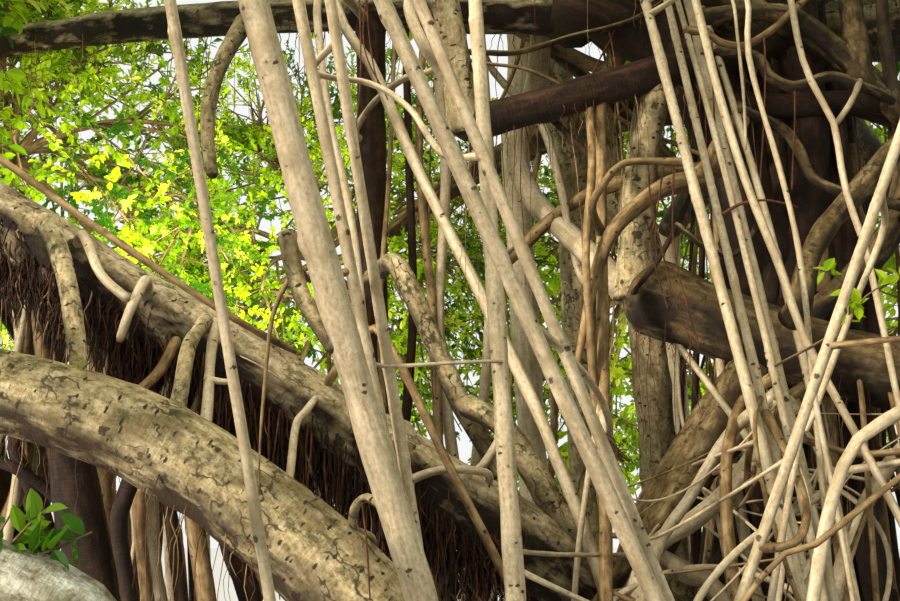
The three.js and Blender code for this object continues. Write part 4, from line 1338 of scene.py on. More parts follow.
# Each starts inside the limb that it hangs from
HAIR_STRINGS = tuple(Root(track, 2.2, 1.5, FREE, FREE, Bark.HAIR) for track in (
    ((272, 380, -1.2), (270, 440, -1.44), (274, 540, -1.47), (280, 600, -1.47)),
    ((284, 386, -1.2), (280, 430, -1.44), (270, 480, -1.45)),
    ((310, 404, -1.2), (308, 450, -1.44), (302, 520, -1.45)),
    ((362, 502, -2.4), (366, 560, -2.5), (370, 600, -2.5)),
    ((358, -60, -1.4), (362, 60, -1.4), (356, 130, -1.4)),
    ((368, -60, -1.3), (374, 50, -1.3), (380, 90, -1.3)),
    ((378, -60, -1.3), (366, 40, -1.3), (388, 100, -1.3)),
    ((606, 20, -0.35), (612, 60, -0.62), (620, 120, -0.66)),
    ((618, 24, -0.35), (596, 64, -0.62), (580, 100, -0.66)),
    ((648, 164, -1.46), (652, 200, -1.52), (664, 250, -1.55), (676, 300, -1.55), (690, 340, -1.55)),
    ((664, 163, -1.44), (658, 210, -1.52), (652, 250, -1.53), (668, 310, -1.55)),
    ((674, 163, -1.42), (674, 230, -1.5), (682, 280, -1.52), (700, 350, -1.55)),
    ((764, 34, -1.02), (764, 80, -1.08), (758, 210, -1.1)),
    ((712, 36, -1), (713, 90, -1.08), (716, 150, -1.1)),
    ((795, 86, -1), (797, 130, -1.08), (792, 190, -1.1)),
    ((150, 310, -1.15), (160, 335, -1.38), (176, 372, -1.4), (182, 400, -1.4)),
    ((100, 280, -1.1), (104, 320, -1.32), (110, 372, -1.34)),
    ((60, 262, -1.1), (62, 300, -1.3), (58, 340, -1.32)),
    ((220, 356, -1.2), (222, 400, -1.42), (216, 440, -1.44)),
))


@dataclass(frozen=True)
class CrossingRoots:
    """The roots that the photograph shows apart from the pillars, placed one by one."""

    seed: int = 19
    steps: int = 44
    sides: int = 12
    stray: float = 0.012  # how far a root's middle strays from its track
    taper: float = 0.55  # a free end's thickness, as a share
    collar_swell: float = 0.45
    collar_reach: float = 0.1

    def build(self, limbs: Limbs) -> None:
        """Builds the roots.

        Args:
            limbs: What they grow on to.
        """
        barks = [Bark.ROOT, TAN, Bark.BOUGH, SHADE, DARK, Bark.HAIR, Bark.LICHEN_ROOT]
        heap = Heap()
        paths, radii, kinds = [], [], []
        draw = np.random.default_rng(self.seed)
        for root in (*SEEN_ROOTS, *HAIR_STRINGS):
            path = smooth_path(root.path(limbs), self.steps)
            thick = mix(*root.radii(), np.linspace(0, 1, self.steps))
            thick *= 1 + 0.1 * rough(path, 0.22, 7) + 0.05 * rough(path, 0.07, 8)
            for index, joint in ((0, root.start), (-1, root.end)):
                if joint is FREE:
                    thick[index] *= self.taper
                elif joint is not GROUND:
                    run = norm(path - path[index], axis=1)
                    thick *= 1 + self.collar_swell * np.exp(-run / self.collar_reach)
            wave = np.sin(np.linspace(0, math.pi, self.steps))[:, None]
            paths.append(path + self.stray * draw.normal(size=3) * wave)
            radii.append(thick)
            kinds.append(barks.index(root.bark))
        heap.add_tubes(np.array(paths), np.array(radii), self.sides, np.array(kinds))
        add_piece("crossing_roots", heap.build("crossing_roots", True), barks)


@dataclass(frozen=True)
class Thicket:
    """The crowd of thinner roots round the trunk, and the bridges that grow between limbs."""

    seed: int = 23
    steps: int = 26
    sides: int = 7
    roots: int = 180
    bridges: int = 60
    # Parts of the photograph's view that it shows open or dark: left, top, right, bottom, and up to which Y
    kept_open: tuple[tuple[float, float, float, float, float], ...] = (
        (-40, 30, 300, 330, 9), (640, -40, 812, 290, 0.2), (600, 225, 910, 385, -0.9), (535, 235, 592, 310, 9),
        (545, 145, 575, 195, 9), (500, 110, 600, 240, 0.7), (615, 340, 668, 455, 9), (560, -40, 905, 110, -0.3),
        (380, 200, 480, 480, -0.2), (0, 330, 345, 601, -1.9), (230, -40, 560, 300, -1),
    )
    radii: Pair = (0.007, 0.055)
    # Thin short links among the limbs in a box: how many, and its lowest and highest corners
    tangles: tuple[tuple[int, Point, Point], ...] = (
        (60, (-1.7, -2.7, 0.2), (1.4, -0.7, 2.5)),
        (26, (-3.9, -1.7, 2.2), (-2.7, -0.6, 3.3)),
    )
    # How long links may be, and their thinnest and thickest radii
    bridge_reach: tuple[float, Pair] = (2.2, (0.006, 0.024))
    tangle_reach: tuple[float, Pair] = (1.3, (0.004, 0.011))
    # The boughs that they hang from, between two shares of the way along them, with a weight
    carriers: tuple[tuple[str, float, float, float], ...] = (
        ("north_west_bough", 0.02, 0.45, 3), ("elbow_bough", 0.05, 0.9, 3), ("low_east_bough", 0.02, 0.98, 4),
        ("east_bough", 0.03, 0.6, 3), ("front_bough", 0.05, 0.4, 1.5), ("back_west_bough", 0.05, 0.55, 2),
        ("back_bough", 0.05, 0.55, 2), ("back_east_bough", 0.05, 0.55, 1.5), ("north_east_bough", 0.05, 0.6, 1.5),
        ("west_bough", 0.3, 0.95, 5),
    )

    def crosses_open(self, path: Array) -> bool:
        """Whether a root would cross a part of the photograph's view that it shows open.

        Args:
            path: The root's middle.
        Returns:
            True where it would.
        """
        (u, v), y = pixels_of(path).T, path[:, 1]
        return any(
            np.any((u > left) & (u < right) & (v > top) & (v < bottom) & (y > EYE[1]) & (y < far))
            for left, top, right, bottom, far in self.kept_open
        )

    def hanging(self, draw: np.random.Generator) -> tuple[list[Array], list[Array]]:
        """Roots from a bough to the ground.

        Args:
            draw: The random numbers.
        Returns:
            Their paths and their radii.
        """
        weights = np.array([carrier[3] for carrier in self.carriers])
        paths, radii = [], []
        while len(paths) < self.roots:
            name, low, high, _ = self.carriers[draw.choice(len(self.carriers), p=weights / weights.sum())]
            top = BOUGHS[name].curve().point(draw.uniform(low, high))
            foot = np.array([*(top[:2] * draw.uniform(0.88, 1.06) + draw.normal(0, 0.2, 2)), GROUND_DEPTH])
            middle = [
                mix(top, foot, share) + np.array([*draw.normal(0, 0.09, 2), draw.normal(0, 0.05)])
                for share in (0.22, 0.45, 0.7)
            ]
            path = smooth_path(np.array([top, *middle, foot]), self.steps)
            if name != "west_bough" and self.crosses_open(path):
                continue
            paths.append(path)
            thick = mix(*self.radii, draw.uniform() ** 2.4)
            share = np.linspace(0, 1, self.steps)
            radii.append(thick * (0.8 + 0.4 * share) * (1 + 0.5 * np.exp(-(1 - share) * 20)))
        return paths, radii

    def bridging(self, draw: np.random.Generator, limbs: Limbs) -> tuple[list[Array], list[Array]]:
        """Crooked links from one limb to another.

        Args:
            draw: The random numbers.
            limbs: What they grow on to.
        Returns:
            Their paths and their radii.
        """
        places = limbs.places
        wide = places[(norm(places[:, :2], axis=1) < 4.2) & (places[:, 2] > 0.3)]
        plan = [(self.bridges, wide, *self.bridge_reach)]
        for count, low, high in self.tangles:
            plan.append((count, places[np.all((places > low) & (places < high), axis=1)], *self.tangle_reach))
        share = np.linspace(0, 1, self.steps)
        paths, radii = [], []
        for count, near, reach, thick in plan:
            wanted = len(paths) + count
            while len(paths) < wanted:
                one, other = near[draw.integers(len(near), size=2)]
                if not 0.2 * reach < norm(one - other) < reach:
                    continue
                bow = draw.normal(0, 0.09 * reach, 3) - [0, 0, 0.08]
                path = Arc(one, other, bow).points(share)
                if self.crosses_open(path):
                    continue
                paths.append(path)
                swell = 1 + 0.5 * np.exp(-share * 14) + 0.5 * np.exp(-(1 - share) * 14)
                radii.append(draw.uniform(*thick) * swell)
        return paths, radii

    def build(self, limbs: Limbs) -> None:
        """Builds the thicket.

        Args:
            limbs: What it grows on to.
        """
        draw = np.random.default_rng(self.seed)
        paths, radii = self.hanging(draw)
        links, thin = self.bridging(draw, limbs)
        paths, radii = np.array(paths + links), np.array(radii + thin)
        radii *= 1 + 0.09 * rough(paths.reshape(-1, 3), 0.14, 3).reshape(radii.shape)
        # Painted shade: pale bark at the front, in the light, and tan and dark bark behind, in the shade
        depth = np.clip(paths[:, :, 1].mean(axis=1), -2.2, 0.6)
        kinds = np.clip((1.35 + 0.4 * depth + draw.normal(0, 0.6, len(paths))).astype(int), 0, 2)
        heap = Heap()
        heap.add_tubes(paths, radii, self.sides, kinds)
        barks = [Bark.ROOT, TAN, DARK]
        add_piece("root_thicket", heap.build("root_thicket", True), barks)


@dataclass(frozen=True)
class HairRoots:
    """Fine young roots that hang free below the boughs, and the curtain of them below the west bough, whose mostly
    dark bark is painted shade.
    """

    seed: int = 37
    steps: int = 6
    radii: Pair = (0.0022, 0.0048)
    lengths: Pair = (0.15, 1.1)
    curtain: str = "west_bough"
    curtain_from: tuple[float, ...] = (0.27, 0.35, 0.45, 0.55, 0.62, 0.72, 0.82)  # shares of the bough
    curtain_fall: tuple[float, ...] = (0.2, 0.5, 0.62, 0.6, 0.42, 0.34, 0.2)  # how far it hangs there
    curtain_roots: int = 3100
    curtain_thickness: float = 1.9
    sway: float = 0.016
    # Of the free hair roots and of the curtain: how far round the bough they start, and their kinds' shares; the
    # curtain's mostly dark kind is painted shade
    turns: Pair = (0.6, 0.9)
    kinds: tuple[tuple[float, ...], tuple[float, ...]] = ((0.75, 0.25, 0), (0.2, 0.02, 0.78))
    tuft: tuple[Triple, Triple] = ((592, 425, -2.62), (626, 466, -2.75))
    tuft_roots: int = 46

    def build(self) -> None:
        """Hangs the hair roots from every bough that has them, and the curtain."""
        draw = np.random.default_rng(self.seed)
        paths, radii, kinds = [], [], []
        plan = [(bough, 0.03, 0.97, int(bough.hairs * bough.curve().length())) for bough in BOUGHS.values()]
        plan.append((BOUGHS[self.curtain], self.curtain_from[0], self.curtain_from[-1], self.curtain_roots))
        fall = np.linspace(0, 1, self.steps)
        for number, (bough, low, high, count) in enumerate(plan):
            curve, veil = bough.curve(), number == len(plan) - 1
            for _ in range(count):
                share = draw.uniform(low, high)
                root = self.root_on(bough, share, draw.normal(0, self.turns[veil]))
                if veil:
                    length = np.interp(share, self.curtain_from, self.curtain_fall) * draw.uniform(0.35, 1.1)
                else:
                    length = min(mix(*self.lengths, draw.uniform() ** 2.2), root[2] * 0.9)
                sway = np.cumsum(draw.normal(0, self.sway, (self.steps, 2)), axis=0)
                path = root + np.stack([sway[:, 0], sway[:, 1], -fall * length], axis=1)
                path[0] = curve.point(share) * 0.15 + root * 0.85
                paths.append(path)
                radii.append(draw.uniform(*self.radii) * (self.curtain_thickness if veil else 1) * (1 - 0.6 * fall))
                kinds.append(draw.choice(3, p=self.kinds[veil]))
        # A frayed bundle of broken fibres
        start, end = (seen(*step) for step in self.tuft)
        for _ in range(self.tuft_roots):
            bend = mix(start, end, 0.6) + draw.normal(0, 0.018, 3)
            tip = mix(start, end, draw.uniform(0.7, 1.15)) + draw.normal(0, 0.03, 3)
            paths.append(smooth_path(np.array([start + draw.normal(0, 0.008, 3), bend, tip]), self.steps))
            radii.append(draw.uniform(*self.radii) * (1 - 0.5 * fall))
            kinds.append(0)
        heap = Heap()
        heap.add_tubes(np.array(paths), np.array(radii), 3, np.array(kinds))
        barks = [Bark.HAIR, TAN, DARK]
        add_piece("hair_roots", heap.build("hair_roots", True), barks)

    def root_on(self, bough: Bough, share: float, turn: float) -> Array:
        """Where a hair root leaves a bough's lower side.

        Args:
            bough: The bough.
            share: The share of the way along it.
            turn: How far round from straight below, in radians.
        Returns:
            The place, just inside the bough's skin.
        """
        curve = bough.curve()
        across = unit(np.cross(curve.ahead(share), [0, 0, 1]))
        below = unit(np.cross(curve.ahead(share), across))
        below = below if below[2] < 0 else -below
        way = math.cos(turn) * below + math.sin(turn) * across
        return curve.point(share) + mix(*bough.radii, share) * 0.97 * way


# ---- foliage ----


class Seeded:
    """The source's random numbers, from 0 to 1."""

    def __init__(self, seed: int) -> None:
        """Starts at a seed."""
        self.state = seed

    def next(self) -> float:
        """The next number."""
        self.state = (self.state * 1664525 + 1013904223) % 2**32
        return self.state / 2**32

    def any_way(self) -> Array:
        """Draws a direction.

        Returns:
            It, with every side alike.
        """
        z = 2 * self.next() - 1
        angle = 2 * math.pi * self.next()
        flat = math.sqrt(1 - z * z)
        return np.array([flat * math.cos(angle), flat * math.sin(angle), z])


def spread(count: int, turn: float) -> Array:
    """Directions over a ball, spread evenly by the golden angle.

    Args:
        count: How many.
        turn: How far round the first is turned.
    Returns:
        The directions, one a row.
    """
    n = np.arange(count)
    z = 1 - (2 * n + 1) / count
    flat = np.sqrt(1 - z * z)
    angle = n * math.pi * (3 - math.sqrt(5)) + turn
    return np.stack([flat * np.cos(angle), flat * np.sin(angle), z], axis=1)


# Places where the photograph shows openings in the crown: column, row and half sizes in pixels
OPENINGS = (
    (15, 262, 26, 22), (122, 375, 26, 26), (255, 105, 26, 20),
    (268, 228, 18, 14), (505, 130, 18, 24), (20, 350, 20, 14),
)


@dataclass(frozen=True)
class Foliage:
    """One mass: a stem, branches by the source's rule, finer twigs, and leaves in sprays.

    Ranges of runs are shares of the way along what something grows from.
    """

    mass: Mass
    seed: int
    branches: int = 17
    lumps: int = 7
    core_share: float = 0.66
    lump_height: float = 0.5
    lump_level: float = 0.75
    stem_radii: Pair = (0.09, 0.06)
    stem_run: float = 0.4
    clearance: float = 0.0004
    branch_radii: Pair = (0.05, 0.018)
    branch_rise: float = 0.12
    forks: int = 9  # on each branch
    fork_runs: Pair = (0.3, 1)
    fork_swerve: float = 0.62
    fork_rise: float = 0.05
    fork_reach: Pair = (0.68, 0.93)  # shares of the mass
    fork_radii: Pair = (0.02, 0.008)
    twigs: int = 7  # on each fork
    twig_runs: Pair = (0.25, 1)
    twig_lengths: Pair = (0.22, 0.62)
    twig_least: float = 0.1
    twig_radii: Pair = (0.006, 0.0025)
    leaves: int = 8  # on each twig
    leaf_length: float = 0.165
    fork_tint_share: float = 0.55  # how many sprays have their fork's colour

    def lump_reach(self, lumps: Array, ways: Array) -> Array:
        """How far out the source's lumpy middle lies in directions, as a share of the mass."""
        lumpy = self.lump_height * (np.max(ways @ lumps.T, axis=1) - self.lump_level)
        return self.core_share * (1 + lumpy)

    def drawn_in(self, start: Array, ends: Array) -> Array:
        """Pulls ends back towards their start until they are in the mass's own space.

        Args:
            start: Where the limbs start.
            ends: Where they would end.
        Returns:
            Where they end.
        """
        for _ in range(14):
            out = ~in_territory(self.mass, ends)
            ends = np.where(out[..., None], mix(start, ends, 0.9), ends)
        return ends

    def clear_of_limbs(self, points: Array, limbs: Limbs) -> Array:
        """Whether places keep off every limb that passes through the mass.

        Args:
            points: The places.
            limbs: The limbs.
        Returns:
            True or False for each place.
        """
        near = self.mass.outness(limbs.places) < 1.15
        free = np.ones(len(points), bool)
        for place, radius in zip(limbs.places[near], limbs.radii[near]):
            free &= norm(points - place, axis=1) > radius + LIMB_GAP
        return free

    def grow(self, limbs: Limbs, wood: Heap, blades: Heap) -> None:
        """Grows the mass.

        Args:
            limbs: The limbs that leaves keep off.
            wood: Takes the stem and the twigs.
            blades: Takes the leaves.
        """
        mass, source = self.mass, Seeded(self.seed)
        draw = np.random.default_rng(1000 + self.seed)
        middle = np.array(mass.middle)
        bough = next(b for b in BOUGHS.values() if b.carries == mass.name)
        tip, ahead = bough.curve().point(1), bough.curve().ahead(1)
        knee = tip + ahead * self.stem_run * norm(tip - middle)
        share = np.linspace(0, 1, 10)[:, None]
        root = tip + ahead * self.clearance
        stem = (1 - share) ** 2 * root + 2 * share * (1 - share) * knee + share**2 * middle
        wood.add_tubes(stem[None], mix(*self.stem_radii, share.T), 8)
        lumps = np.array([source.any_way() for _ in range(self.lumps)])
        ways = spread(self.branches, source.next() * 2 * math.pi)
        # Branches from the middle, up to the lumpy outline
        ends = self.drawn_in(middle, mass.places(ways, self.lump_reach(lumps, ways) * 1.02))
        rise = draw.normal(0, 0.1, (self.branches, 3)) + [0, 0, self.branch_rise]
        limb = self._add_bowed(wood, middle[None], ends, rise, (7, 6), self.branch_radii)
        # Forks from the outer part of each branch, which reach further out over the lumps
        count = self.branches * self.forks
        parent = np.repeat(np.arange(self.branches), self.forks)
        start = self._on(limb, parent, draw.uniform(*self.fork_runs, count))
        way = unit(ways[parent] + self.fork_swerve * unit(draw.normal(size=(count, 3))))
        out = draw.uniform(*self.fork_reach, count) * np.minimum(self.lump_reach(lumps, way) / 0.62, 1.06)
        ends = self.drawn_in(start, mass.places(way, out))
        rise = draw.normal(0, 0.08, (count, 3)) + [0, 0, self.fork_rise]
        fork = self._add_bowed(wood, start, ends, rise, (5, 3), self.fork_radii)
        # Twigs, each of which carries a spray
        total = count * self.twigs
        parent = np.repeat(np.arange(count), self.twigs)
        start = self._on(fork, parent, draw.uniform(*self.twig_runs, total))
        outward = unit((start - middle) / np.array(mass.size) ** 2)
        way = unit(unit(draw.normal(size=(total, 3))) + 0.55 * outward + [0, 0, -0.12])
        ends = self.drawn_in(start, start + way * draw.uniform(*self.twig_lengths, total)[:, None])
        keep = (norm(ends - start, axis=1) > self.twig_least) & self._fits(limbs)(ends)
        keep &= ~self._in_opening(ends)
        start, ends, parent = start[keep], ends[keep], parent[keep]
        twig = np.stack([start, ends], axis=1)
        wood.add_tubes(twig, np.broadcast_to(self.twig_radii, twig.shape[:2]), 3)
        tint = self._tints(parent, count, draw)
        self._leaf_out(start, ends, tint, draw, blades, limbs)

    def _add_bowed(
        self, wood: Heap, start: Array, ends: Array, rise: Array, grid: tuple[int, int], radii: Pair
    ) -> Array:
        """Adds limbs that bow away from their chords and taper.

        Args:
            wood: Takes them.
            start: Where they start.
            ends: Where they end.
            rise: How far each one's middle stands off its chord.
            grid: How many places each has along it, and how many sides.
            radii: Their first and last radius.
        Returns:
            Their paths, with the shape limbs, places, 3.
        """
        steps, sides = grid
        s = np.linspace(0, 1, steps)[None, :, None]
        paths = mix(start[:, None], ends[:, None], s) + rise[:, None] * 4 * s * (1 - s)
        wood.add_tubes(paths, np.broadcast_to(mix(*radii, s[..., 0]), paths.shape[:2]), sides)
        return paths

    def _on(self, paths: Array, parent: Array, share: Array) -> Array:
        """Places along some of the paths.

        Args:
            paths: The paths.
            parent: The number of the path of each place.
            share: The share of the way along it.
        Returns:
            The places.
        """
        steps = paths.shape[1] - 1
        low = np.minimum((share * steps).astype(int), steps - 1)
        rest = (share * steps - low)[:, None]
        return mix(paths[parent, low], paths[parent, low + 1], rest)

    def _in_opening(self, points: Array) -> Array:
        """Whether the photograph shows an opening at places, for the masses behind the trunk.

        Args:
            points: The places.
        Returns:
            True or False for each.
        """
        hit = np.zeros(len(points), bool)
        if self.mass.middle[1] > 1:
            pixel = pixels_of(points)
            for u, v, wide, high in OPENINGS:
                hit |= ((pixel[:, 0] - u) / wide) ** 2 + ((pixel[:, 1] - v) / high) ** 2 < 1
        return hit

    def _tints(self, parent: Array, forks: int, draw: np.random.Generator) -> Array:
        """The leaf colour of each spray: mostly its fork's own.

        Args:
            parent: The fork's number of each spray.
            forks: How many forks there are.
            draw: The random numbers.
        Returns:
            The colours' numbers.
        """
        of_fork = draw.choice(len(LEAF_WEIGHTS), forks, p=LEAF_WEIGHTS)[parent]
        own = draw.choice(len(LEAF_WEIGHTS), len(parent), p=LEAF_WEIGHTS)
        return np.where(draw.uniform(size=len(parent)) < self.fork_tint_share, of_fork, own)

    def _leaf_out(
        self, start: Array, ends: Array, tint: Array, draw: np.random.Generator, blades: Heap, limbs: Limbs
    ) -> None:
        """Sets leaves along the outer part of every twig.

        Args:
            start: Where the twigs start.
            ends: Where they end.
            tint: The leaf colour of each.
            draw: The random numbers.
            blades: Takes the leaves.
            limbs: The limbs that leaves keep off.
        """
        sprays, each = len(ends), self.leaves
        total = sprays * each
        share = np.tile(np.linspace(0.3, 1, each), sprays)
        from_, to = np.repeat(start, each, axis=0), np.repeat(ends, each, axis=0)
        root = mix(from_, to, share[:, None])
        outward = unit((root - np.array(self.mass.middle)) / np.array(self.mass.size))
        # Along the twig, turned any way, and a little outward and down
        ahead = unit(to - from_) * 0.7 + unit(draw.normal(size=(total, 3))) * 0.95 + outward * 0.25
        ahead[:, 2] -= 0.3 * draw.uniform(size=total)
        ahead = unit(ahead)
        face = np.array([0, 0, 0.8]) + outward + draw.normal(0, 0.35, (total, 3))
        side = unit(np.cross(face, ahead))
        length = self.leaf_length * draw.uniform(0.7, 1.15, total)
        add_leaves(blades, root, ahead, side, length, np.repeat(tint, each), self._fits(limbs))

    def _fits(self, limbs: Limbs) -> Callable[[Array], Array]:
        """A test for tips: in the mass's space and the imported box, and clear of the limbs.

        Args:
            limbs: The limbs.
        Returns:
            The test, which takes places and says which of them fit.
        """
        low, high = (np.array(corner) for corner in CAD_BOX)
        return lambda tips: (
            in_territory(self.mass, tips)
            & self.clear_of_limbs(tips, limbs)
            & np.all((tips > low - BOX_MARGIN) & (tips < high + BOX_MARGIN), axis=1)
        )


# Places along and across a leaf, up one side and down the other; the leaves near the camera have more
LEAF_OUTLINE = ((0.0, 0.0), (0.36, 0.27), (0.74, 0.2), (1.0, 0.0), (0.74, -0.2), (0.36, -0.27))
NEAR_SIDE = ((0.04, 0.02), (0.14, 0.12), (0.28, 0.2), (0.45, 0.235), (0.62, 0.21), (0.78, 0.14), (0.9, 0.05))
NEAR_OUTLINE = ((0.0, 0.0), *NEAR_SIDE, (1.0, 0.0), *((along, -wide) for along, wide in NEAR_SIDE[::-1]))


def add_leaves(
    heap: Heap, root: Array, ahead: Array, side: Array, length: Array, tint: Array,
    fits: Callable[[Array], Array] | None = None, outline: Sequence[Pair] = LEAF_OUTLINE,
) -> None:
    """Adds oval leaves that are folded along the middle and droop at the tip.

    Args:
        heap: Takes them.
        root: Where each grows from.
        ahead: Which way each points.
        side: Which way each is wide.
        length: How long each is.
        tint: The colour number of each.
        fits: Says which tips have room; the other leaves are left out.
        outline: The outline's places, along and across, in an even number.
    """
    if fits is not None:
        keep = fits(root + ahead * length[:, None])
        root, ahead, side, length, tint = root[keep], ahead[keep], side[keep], length[keep], tint[keep]
    above = np.cross(ahead, side)
    above *= np.where(above[:, 2:] < 0, -1, 1)
    vertices = np.stack(
        [
            root + length[:, None] * (ahead * along + side * wide + above * (0.35 * abs(wide) - 0.16 * along**2))
            for along, wide in outline
        ],
        axis=1,
    )
    corners, half = len(outline), len(outline) // 2
    number = np.arange(len(root))[:, None] * corners
    faces = np.concatenate([number + np.arange(half + 1), number + [0, *range(half, corners)]])
    flat = vertices.reshape(-1, 3)
    heap.add(flat, [faces], [np.tile(tint, 2)], flat)


# The photograph shows these masses from below, with small leaves: how many on each twig, and how long
BACKDROP_LEAVES = {"rim_3": (9, 0.115), "rim_4": (17, 0.08), "rim_5": (17, 0.08)}


@dataclass(frozen=True)
class Crown:
    """Every mass: its twigs are one piece and its leaves another."""

    forks: int = 13  # on each branch of the masses whose leaves are finer
    twigs: int = 12  # on each of these forks

    def build(self, limbs: Limbs) -> None:
        """Grows the masses.

        Args:
            limbs: The limbs that leaves keep off.
        """
        for n, mass in enumerate(MASSES.values()):
            wood, blades = Heap(), Heap()
            finer = {}
            if mass.name in BACKDROP_LEAVES:
                leaves, length = BACKDROP_LEAVES[mass.name]
                finer = {"forks": self.forks, "twigs": self.twigs, "leaves": leaves, "leaf_length": length}
            Foliage(mass, n + 1, **finer).grow(limbs, wood, blades)
            for kind, heap, finishes in (("twigs", wood, [Bark.TWIG]), ("leaves", blades, list(Leaf))):
                mesh = heap.build(f"{kind}_{mass.name}", heap is wood)
                add_piece(mesh.name, mesh, finishes, [f"foliage_{mass.name}"])


@dataclass(frozen=True)
class Sprig:
    """A tuft of larger leaves on a shoot that grows low on the tree, from inside a limb or on to the nearest."""

    track: tuple[Triple, ...]
    leaves: int
    leaf_length: float
    tint: int
    from_inside: bool = False


SPRIGS = (
    Sprig(((838, 330, -2.1), (850, 300, -2.3), (838, 278, -2.4), (815, 268, -2.5)), 16, 0.1, 1),
    Sprig(((838, 330, -2.1), (866, 296, -2.3), (890, 282, -2.4), (910, 268, -2.5)), 16, 0.1, 0),
    Sprig(((70, 385, -2.1), (80, 372, -2.2), (92, 360, -2.25)), 9, 0.06, 1),
    Sprig(((-15, 590, -4.45), (2, 556, -4.5), (26, 528, -4.5), (48, 508, -4.5)), 16, 0.1, 2, True),
    Sprig(((-15, 590, -4.45), (30, 560, -4.5), (66, 544, -4.5), (92, 532, -4.5)), 9, 0.15, 3, True),
    Sprig(((-40, 580, -4.45), (-16, 550, -4.5), (2, 528, -4.5), (12, 512, -4.5)), 10, 0.1, 3, True),
)


@dataclass(frozen=True)
class LowShoots:
    """The low shoots with their leaves."""

    seed: int = 91
    steps: int = 16
    radii: Pair = (0.008, 0.003)

    def build(self, limbs: Limbs) -> None:
        """Builds them.

        Args:
            limbs: What they grow on to.
        """
        wood, blades = Heap(), Heap()
        draw = np.random.default_rng(self.seed)
        for sprig in SPRIGS:
            places = [seen(*step) for step in sprig.track]
            held = [] if sprig.from_inside else [limbs.nearest(places[0], False)]
            path = smooth_path(np.array([*held, *places]), self.steps)
            wood.add_tubes(path[None], mix(*self.radii, np.linspace(0, 1, self.steps))[None], 6)
            at = draw.uniform(0.45, 1, sprig.leaves)
            root = path[(at * (self.steps - 1)).astype(int)]
            ahead = unit(draw.normal(size=(sprig.leaves, 3)) + [0, -0.4, 0.1])
            side = unit(np.cross(np.array([0, -0.9, 0.9]) + draw.normal(0, 0.3, (sprig.leaves, 3)), ahead))
            length = sprig.leaf_length * draw.uniform(0.7, 1.1, sprig.leaves)
            tint = np.full(sprig.leaves, sprig.tint)
            add_leaves(blades, root, ahead, side, length, tint, outline=NEAR_OUTLINE)
        add_piece("low_shoots", wood.build("low_shoots", True), [Bark.TWIG])
        add_piece("low_shoot_leaves", blades.build("low_shoot_leaves", False), list(Leaf))


# ---- studio ----


@dataclass(frozen=True)
class Lamp:
    """A soft lamp: a square one at a place, which the camera doesn't see, or else a far one."""

    name: str
    way: Point
    strength: float
    softness_degrees: float
    colour: str = "ffffff"
    place: Point | None = None
    size: float = 3.0

    def build(self) -> None:
        """Hangs the lamp."""
        data = bpy.data.lights.new(self.name, "AREA" if self.place else "SUN")
        data.energy = self.strength
        data.color = linear(self.colour)[:3]
        lamp = bpy.data.objects.new(self.name, data)
        lamp.rotation_euler = Vector(self.way).to_track_quat("-Z", "Y").to_euler()
        if self.place:
            lamp.location = self.place
            lamp.visible_camera = lamp.visible_glossy = False
            data.shape = "SQUARE"
            data.size = self.size
            data.spread = math.radians(self.softness_degrees)
        else:
            data.angle = math.radians(self.softness_degrees)
        bpy.context.scene.collection.objects.link(lamp)


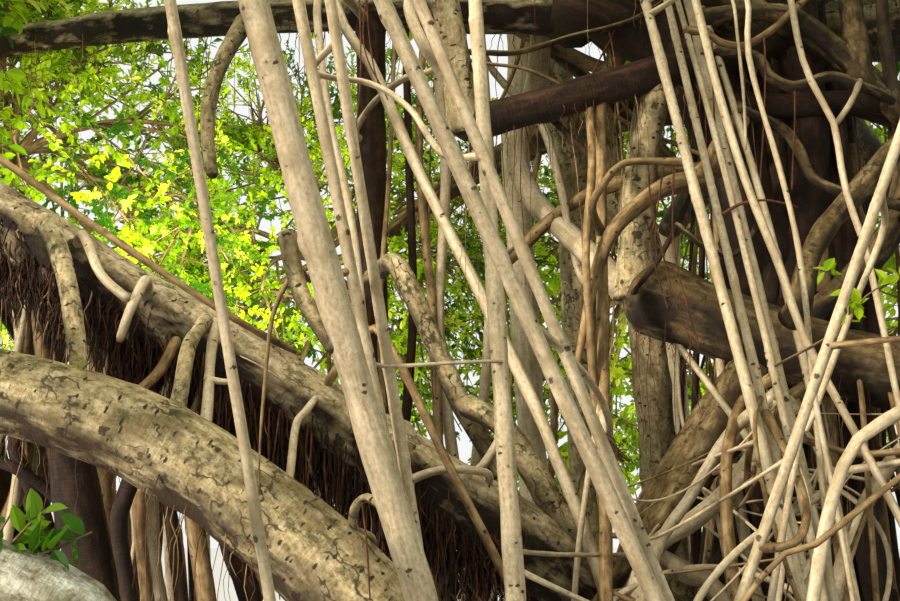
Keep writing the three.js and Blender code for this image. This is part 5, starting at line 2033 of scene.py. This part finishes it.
@dataclass(frozen=True)
class Studio:
    """The camera, the pale floor, the pale surroundings and the lamps."""

    floor_reach: float = 70.0
    floor_depth: float = 0.003  # just below the feet
    floor_colour: str = "c8c6c0"
    surroundings_colour: str = "f6f8f6"
    surroundings: float = 1.0
    lamps: tuple[Lamp, ...] = (
        Lamp("under_crown", (1.6, 1.4, -5.7), 95, 140, "fff6e6", (-3.2, -2.6, 5.7)),
        Lamp("under_crown_west", (-2.3, 7.2, 2.6), 380, 80, "fff8d0", (-4.2, 0.8, 2.8)),
        Lamp("behind_trunk", (-1, 4.3, 2.6), 130, 90, "fff8d0", (1.6, 5.2, 2.8)),
        Lamp("low_key", (8.3, 7.3, -0.8), 4.3, 9, "fff0de"),
        Lamp("high_key", (0.55, 0.75, -1.1), 1.5, 24, "fff6e6"),
        Lamp("high_fill", (-0.9, -0.5, -0.8), 0.35, 40),
    )

    def build(self) -> None:
        """Builds the studio."""
        self.add_camera()
        self.add_floor()
        scene = bpy.context.scene
        scene.view_settings.view_transform = "Standard"
        world = bpy.data.worlds.new("pale_surroundings")
        world.use_nodes = True
        back = world.node_tree.nodes["Background"]
        back.inputs["Color"].default_value = linear(self.surroundings_colour)
        back.inputs["Strength"].default_value = self.surroundings
        scene.world = world
        for lamp in self.lamps:
            lamp.build()

    def add_camera(self) -> None:
        """Stands the camera where the photograph was taken."""
        data = bpy.data.cameras.new("camera")
        data.sensor_width = SENSOR_MM
        data.lens = FOCAL_PIXELS * SENSOR_MM / PHOTO_WIDTH
        data.clip_end = 300
        camera = bpy.data.objects.new("camera", data)
        camera.location = EYE
        camera.rotation_euler = (math.pi / 2 + PITCH, 0, 0)
        bpy.context.scene.collection.objects.link(camera)
        bpy.context.scene.camera = camera

    def add_floor(self) -> None:
        """Lays the floor."""
        bm = bmesh.new()
        bmesh.ops.create_circle(bm, cap_ends=True, segments=96, radius=self.floor_reach)
        bmesh.ops.translate(bm, verts=bm.verts, vec=(0, 0, -self.floor_depth))
        mesh = bpy.data.meshes.new("floor")
        bm.to_mesh(mesh)
        bm.free()
        floor = bpy.data.objects.new("floor", mesh)
        bpy.context.scene.collection.objects.link(floor)
        # Matt paint, so that only the tree's soft shadow shows on it
        pale = bpy.data.materials.new("pale_floor_paint")
        pale.use_nodes = True
        shader = pale.node_tree.nodes["Principled BSDF"]
        shader.inputs["Base Color"].default_value = linear(self.floor_colour)
        shader.inputs["Roughness"].default_value = 0.9
        mesh.materials.append(pale)


def main() -> None:
    """Builds the tree and the studio round it."""
    logging.basicConfig(level=logging.INFO, format="%(message)s")
    Studio().build()
    limbs = Limbs()
    Trunk().build()
    for n, bough in enumerate(BOUGHS.values()):
        bough.build(11 + n)
    for n, pillar in enumerate(PILLARS):
        pillar.build(101 + n)
    CrossingRoots().build(limbs)
    Thicket().build(limbs)
    HairRoots().build()
    Crown().build(limbs)
    LowShoots().build(limbs)


if __name__ == "__main__":
    main()
